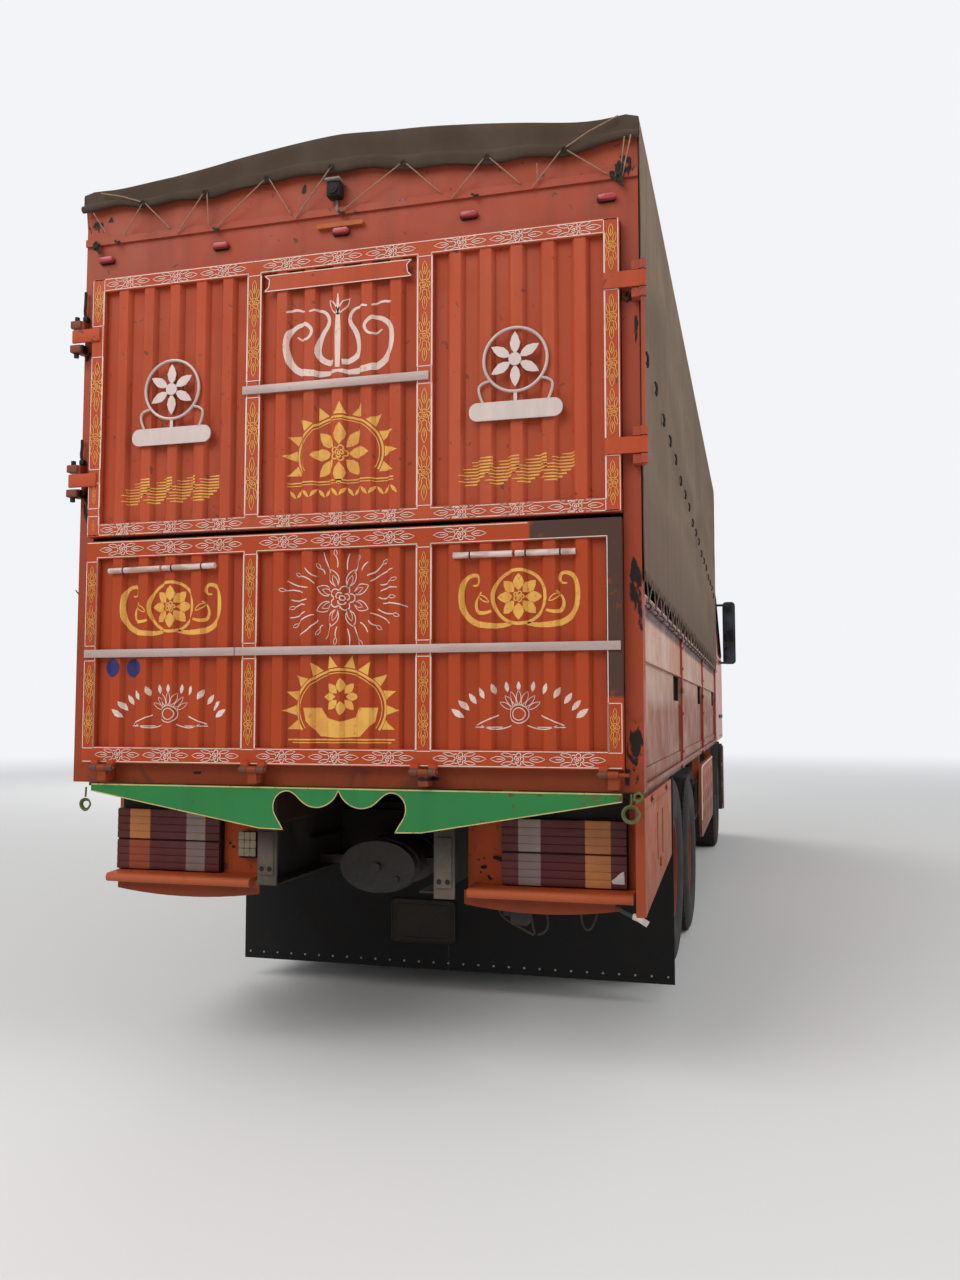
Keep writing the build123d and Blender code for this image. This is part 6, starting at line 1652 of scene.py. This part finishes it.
window.shader.inputs["IOR"].default_value = 1.45
covered(window, "windscreen", "door_glass_left", "door_glass_right")
head_glass = Finish("head_lamp_glass", (0.55, 0.56, 0.57), 0.08)
head_glass.to("Base Color", head_glass.mix(head_glass.bands(30, "X"), (0.42, 0.43, 0.44), (0.62, 0.63, 0.64)))
head_glass.bump(head_glass.bands(36, "X"), 0.5, 0.003)
head_glass.shader.inputs["Coat Weight"].default_value = 1.0
covered(head_glass, "head_lamps")

# Mirror glasses, a large one over a wide-angle one, face the rear in each housing
mirror_glass = Finish("mirror_glass", (0.075, 0.085, 0.105), 0.06, 1.0)
mirror_glass.to("Roughness", mirror_glass.ramp(mirror_glass.cloud(6, detail=5), 0.4, 0.8, 0.05, 0.25))
MIRROR_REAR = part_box("mirror_right")[0][1]
for name, side in (("left", -1), ("right", 1)):
    glasses = bmesh.new()
    for z, half in ((2.610, 0.220), (2.235, 0.095)):
        plate(glasses, rounded(side * 1.348, z, 0.060, half, 0.028), MIRROR_REAR - 0.003, MIRROR_REAR + 0.002)
    placed(f"mirror_glass_{name}", closed(glasses), mirror_glass, f"door_{name}")

# Door handles, rubbing strips and rubber seals round the side windows
DOOR_REAR, DOOR_FRONT = REAR + 8.43, REAR + 9.42


def sides_of(corners, parts):
    """Points at some parts of the way along every side of a shape."""
    return [
        (first + (next_first - first) * part, second + (next_second - second) * part)
        for (first, second), (next_first, next_second) in zip(corners, corners[1:] + corners[:1])
        for part in parts
    ]


for name, side in (("left", -1), ("right", 1)):
    handle = bmesh.new()
    x = side * 1.238
    block(handle, (x, DOOR_REAR + 0.10, 2.085), (side * 1.242, DOOR_REAR + 0.29, 2.150), 0.001)
    block(handle, (side * 1.242, DOOR_REAR + 0.11, 2.108), (side * 1.266, DOOR_REAR + 0.27, 2.128), 0.006)
    block(handle, (x, DOOR_REAR + 0.06, 1.460), (side * 1.248, DOOR_FRONT - 0.06, 1.500), 0.004)
    placed(f"door_handle_{name}", closed(handle), trim, f"door_{name}")
    slope = (1.165 - 1.238) / (3.250 - 2.150)
    border = [
        (DOOR_REAR + 0.090, 2.200), (DOOR_FRONT - 0.090, 2.200), (DOOR_FRONT - 0.255, 2.950),
        (DOOR_REAR + 0.090, 2.950),
    ]
    path = [
        (side * (1.240 + slope * (z - 2.150)), y, z) for y, z in sides_of(border, (0.06, 0.5, 0.94))
    ]
    seal = cord_mesh("window_seal", [path], 0.012, 1, 3, True)
    placed(f"window_seal_{name}", seal, rubber, f"door_{name}")

# Windscreen seal, three wipers, and a sun visor under a row of roof lamps
CAB_FRONT = REAR + 9.83


def screen_y(z):
    """Place of the windscreen's outer face at a height."""
    return CAB_FRONT - 0.04 - (z - 2.120) * 0.26 / 0.960


front_parts = bmesh.new()
for x in (-0.36, 0.21, 0.78):
    foot = (x, screen_y(2.150) + 0.030, 2.150)
    bar(front_parts, (x, screen_y(2.150) - 0.01, 2.150), (x, screen_y(2.150) + 0.045, 2.150), 0.016, 12)
    bar(front_parts, foot, (x - 0.34, screen_y(2.40) + 0.020, 2.40), 0.006, 8)
    low_end, high_end = (x - 0.62, screen_y(2.30) + 0.012, 2.28), (x - 0.08, screen_y(2.53) + 0.012, 2.53)
    bar(front_parts, low_end, high_end, 0.008, 8)
block(front_parts, (-1.02, screen_y(3.08) - 0.02, 3.060), (1.02, screen_y(3.08) + 0.165, 3.082), 0.008)
for x in (-0.99, 0.0, 0.99):
    low = (x - 0.012, screen_y(3.08) - 0.02, 3.050)
    block(front_parts, low, (x + 0.012, screen_y(3.08) + 0.12, 3.120), 0.004)
placed("visor_and_wipers", closed(front_parts), trim, "cab")
corners = [(-1.06, 2.18), (1.06, 2.18), (1.01, 3.02), (-1.01, 3.02)]
screen_path = [(x, screen_y(z) + 0.002, z) for x, z in sides_of(corners, (0.03, 0.5, 0.97))]
screen_seal = cord_mesh("windscreen_seal", [screen_path], 0.013, 1, 3, True)
placed("windscreen_seal", screen_seal, rubber, "cab")
roof_lamps = bmesh.new()
for x in (-0.80, -0.40, 0.0, 0.40, 0.80):
    plate(roof_lamps, rounded(x, 3.475, 0.055, 0.020, 0.018), CAB_FRONT - 0.50, CAB_FRONT - 0.40)
amber_lens = Finish("amber_lens", (0.50, 0.16, 0.02), 0.25)
amber_lens.clouded(15, (0.42, 0.12, 0.018), (0.58, 0.22, 0.035))
amber_lens.bump(amber_lens.bands(50, "X"), 0.4, 0.002)
placed("roof_lamps", closed(roof_lamps), amber_lens, "cab")

# A plain number-plate field on the bumper
front_plate = bmesh.new()
plate(front_plate, rounded(0.0, 0.535, 0.260, 0.055, 0.010), CAB_FRONT - 0.036, CAB_FRONT - 0.028)
placed("front_plate_blank", closed(front_plate), dark_plastic, "chassis")


# Seats: padded cushions in dark woven cloth, crowned in the middle of each face, on steel boxes.
# A cushion is a finely divided cube, with its corners drawn in and its faces pushed out.
def cushion(target, low, high, crown, lean):
    """Adds a padded form between two corners: round edges, crowned faces, sides pulled in."""
    low, high = Vector(low), Vector(high)
    part = bmesh.new()
    bmesh.ops.create_cube(part, size=2.0)
    bmesh.ops.subdivide_edges(part, edges=part.edges[:], cuts=9, use_grid_fill=True)
    middle, half = (low + high) / 2, (high - low) / 2
    for vert in part.verts:
        shape = vert.co.copy()
        blended = shape.lerp(shape.normalized() * 1.25, 0.16)
        place = middle.copy()
        for i in range(3):
            place[i] += half[i] * max(-1.0, min(1.0, blended[i] * 0.93))
            if abs(shape[i]) > 0.99:
                puff = (1 - shape[(i + 1) % 3] ** 4) * (1 - shape[(i + 2) % 3] ** 4)
                place[i] += math.copysign(crown * puff, blended[i])
        vert.co = place + Vector((0, lean * (place.z - low.z), 0))
    made = bpy.data.meshes.new("cushion")
    part.to_mesh(made)
    part.free()
    target.from_mesh(made)


SEAT_BACK_LEAN = -0.14
CAB_REAR = REAR + 7.55
weave = Finish("seat_cloth", (0.060, 0.055, 0.060), 0.9)
stripes = weave.ramp(weave.bands(18, "X"), 0.3, 0.7)
weave.to("Base Color", weave.mix(stripes, (0.045, 0.042, 0.048), (0.105, 0.090, 0.085)))
for direction in ("X", "Y"):
    weave.bump(weave.bands(160, direction), 0.3, 0.001)
# Cushions of a seat, as lower and upper corner from its middle, crown, and lean
CUSHIONS = (
    ((-0.245, CAB_REAR + 0.70, 1.735), (0.245, CAB_REAR + 1.145, 1.870), 0.012, 0.0),
    ((-0.235, CAB_REAR + 0.640, 1.860), (0.235, CAB_REAR + 0.750, 2.420), 0.014, SEAT_BACK_LEAN),
    ((-0.140, CAB_REAR + 0.640, 2.450), (0.140, CAB_REAR + 0.725, 2.612), 0.010, SEAT_BACK_LEAN),
)
for name, side in (("left", -1), ("right", 1)):
    x = side * 0.74
    padding = bmesh.new()
    for low, high, crown, lean in CUSHIONS:
        cushion(padding, (x + low[0], *low[1:]), (x + high[0], *high[1:]), crown, lean)
    pad = placed(f"seat_pads_{name}", closed(padding), weave, "cab", 60)
    base = bmesh.new()
    block(base, (x - 0.20, CAB_REAR + 0.64, 1.502), (x + 0.20, CAB_REAR + 1.05, 1.735), 0.02)
    placed(f"seat_base_{name}", closed(base), trim, "cab")
    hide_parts("seats")
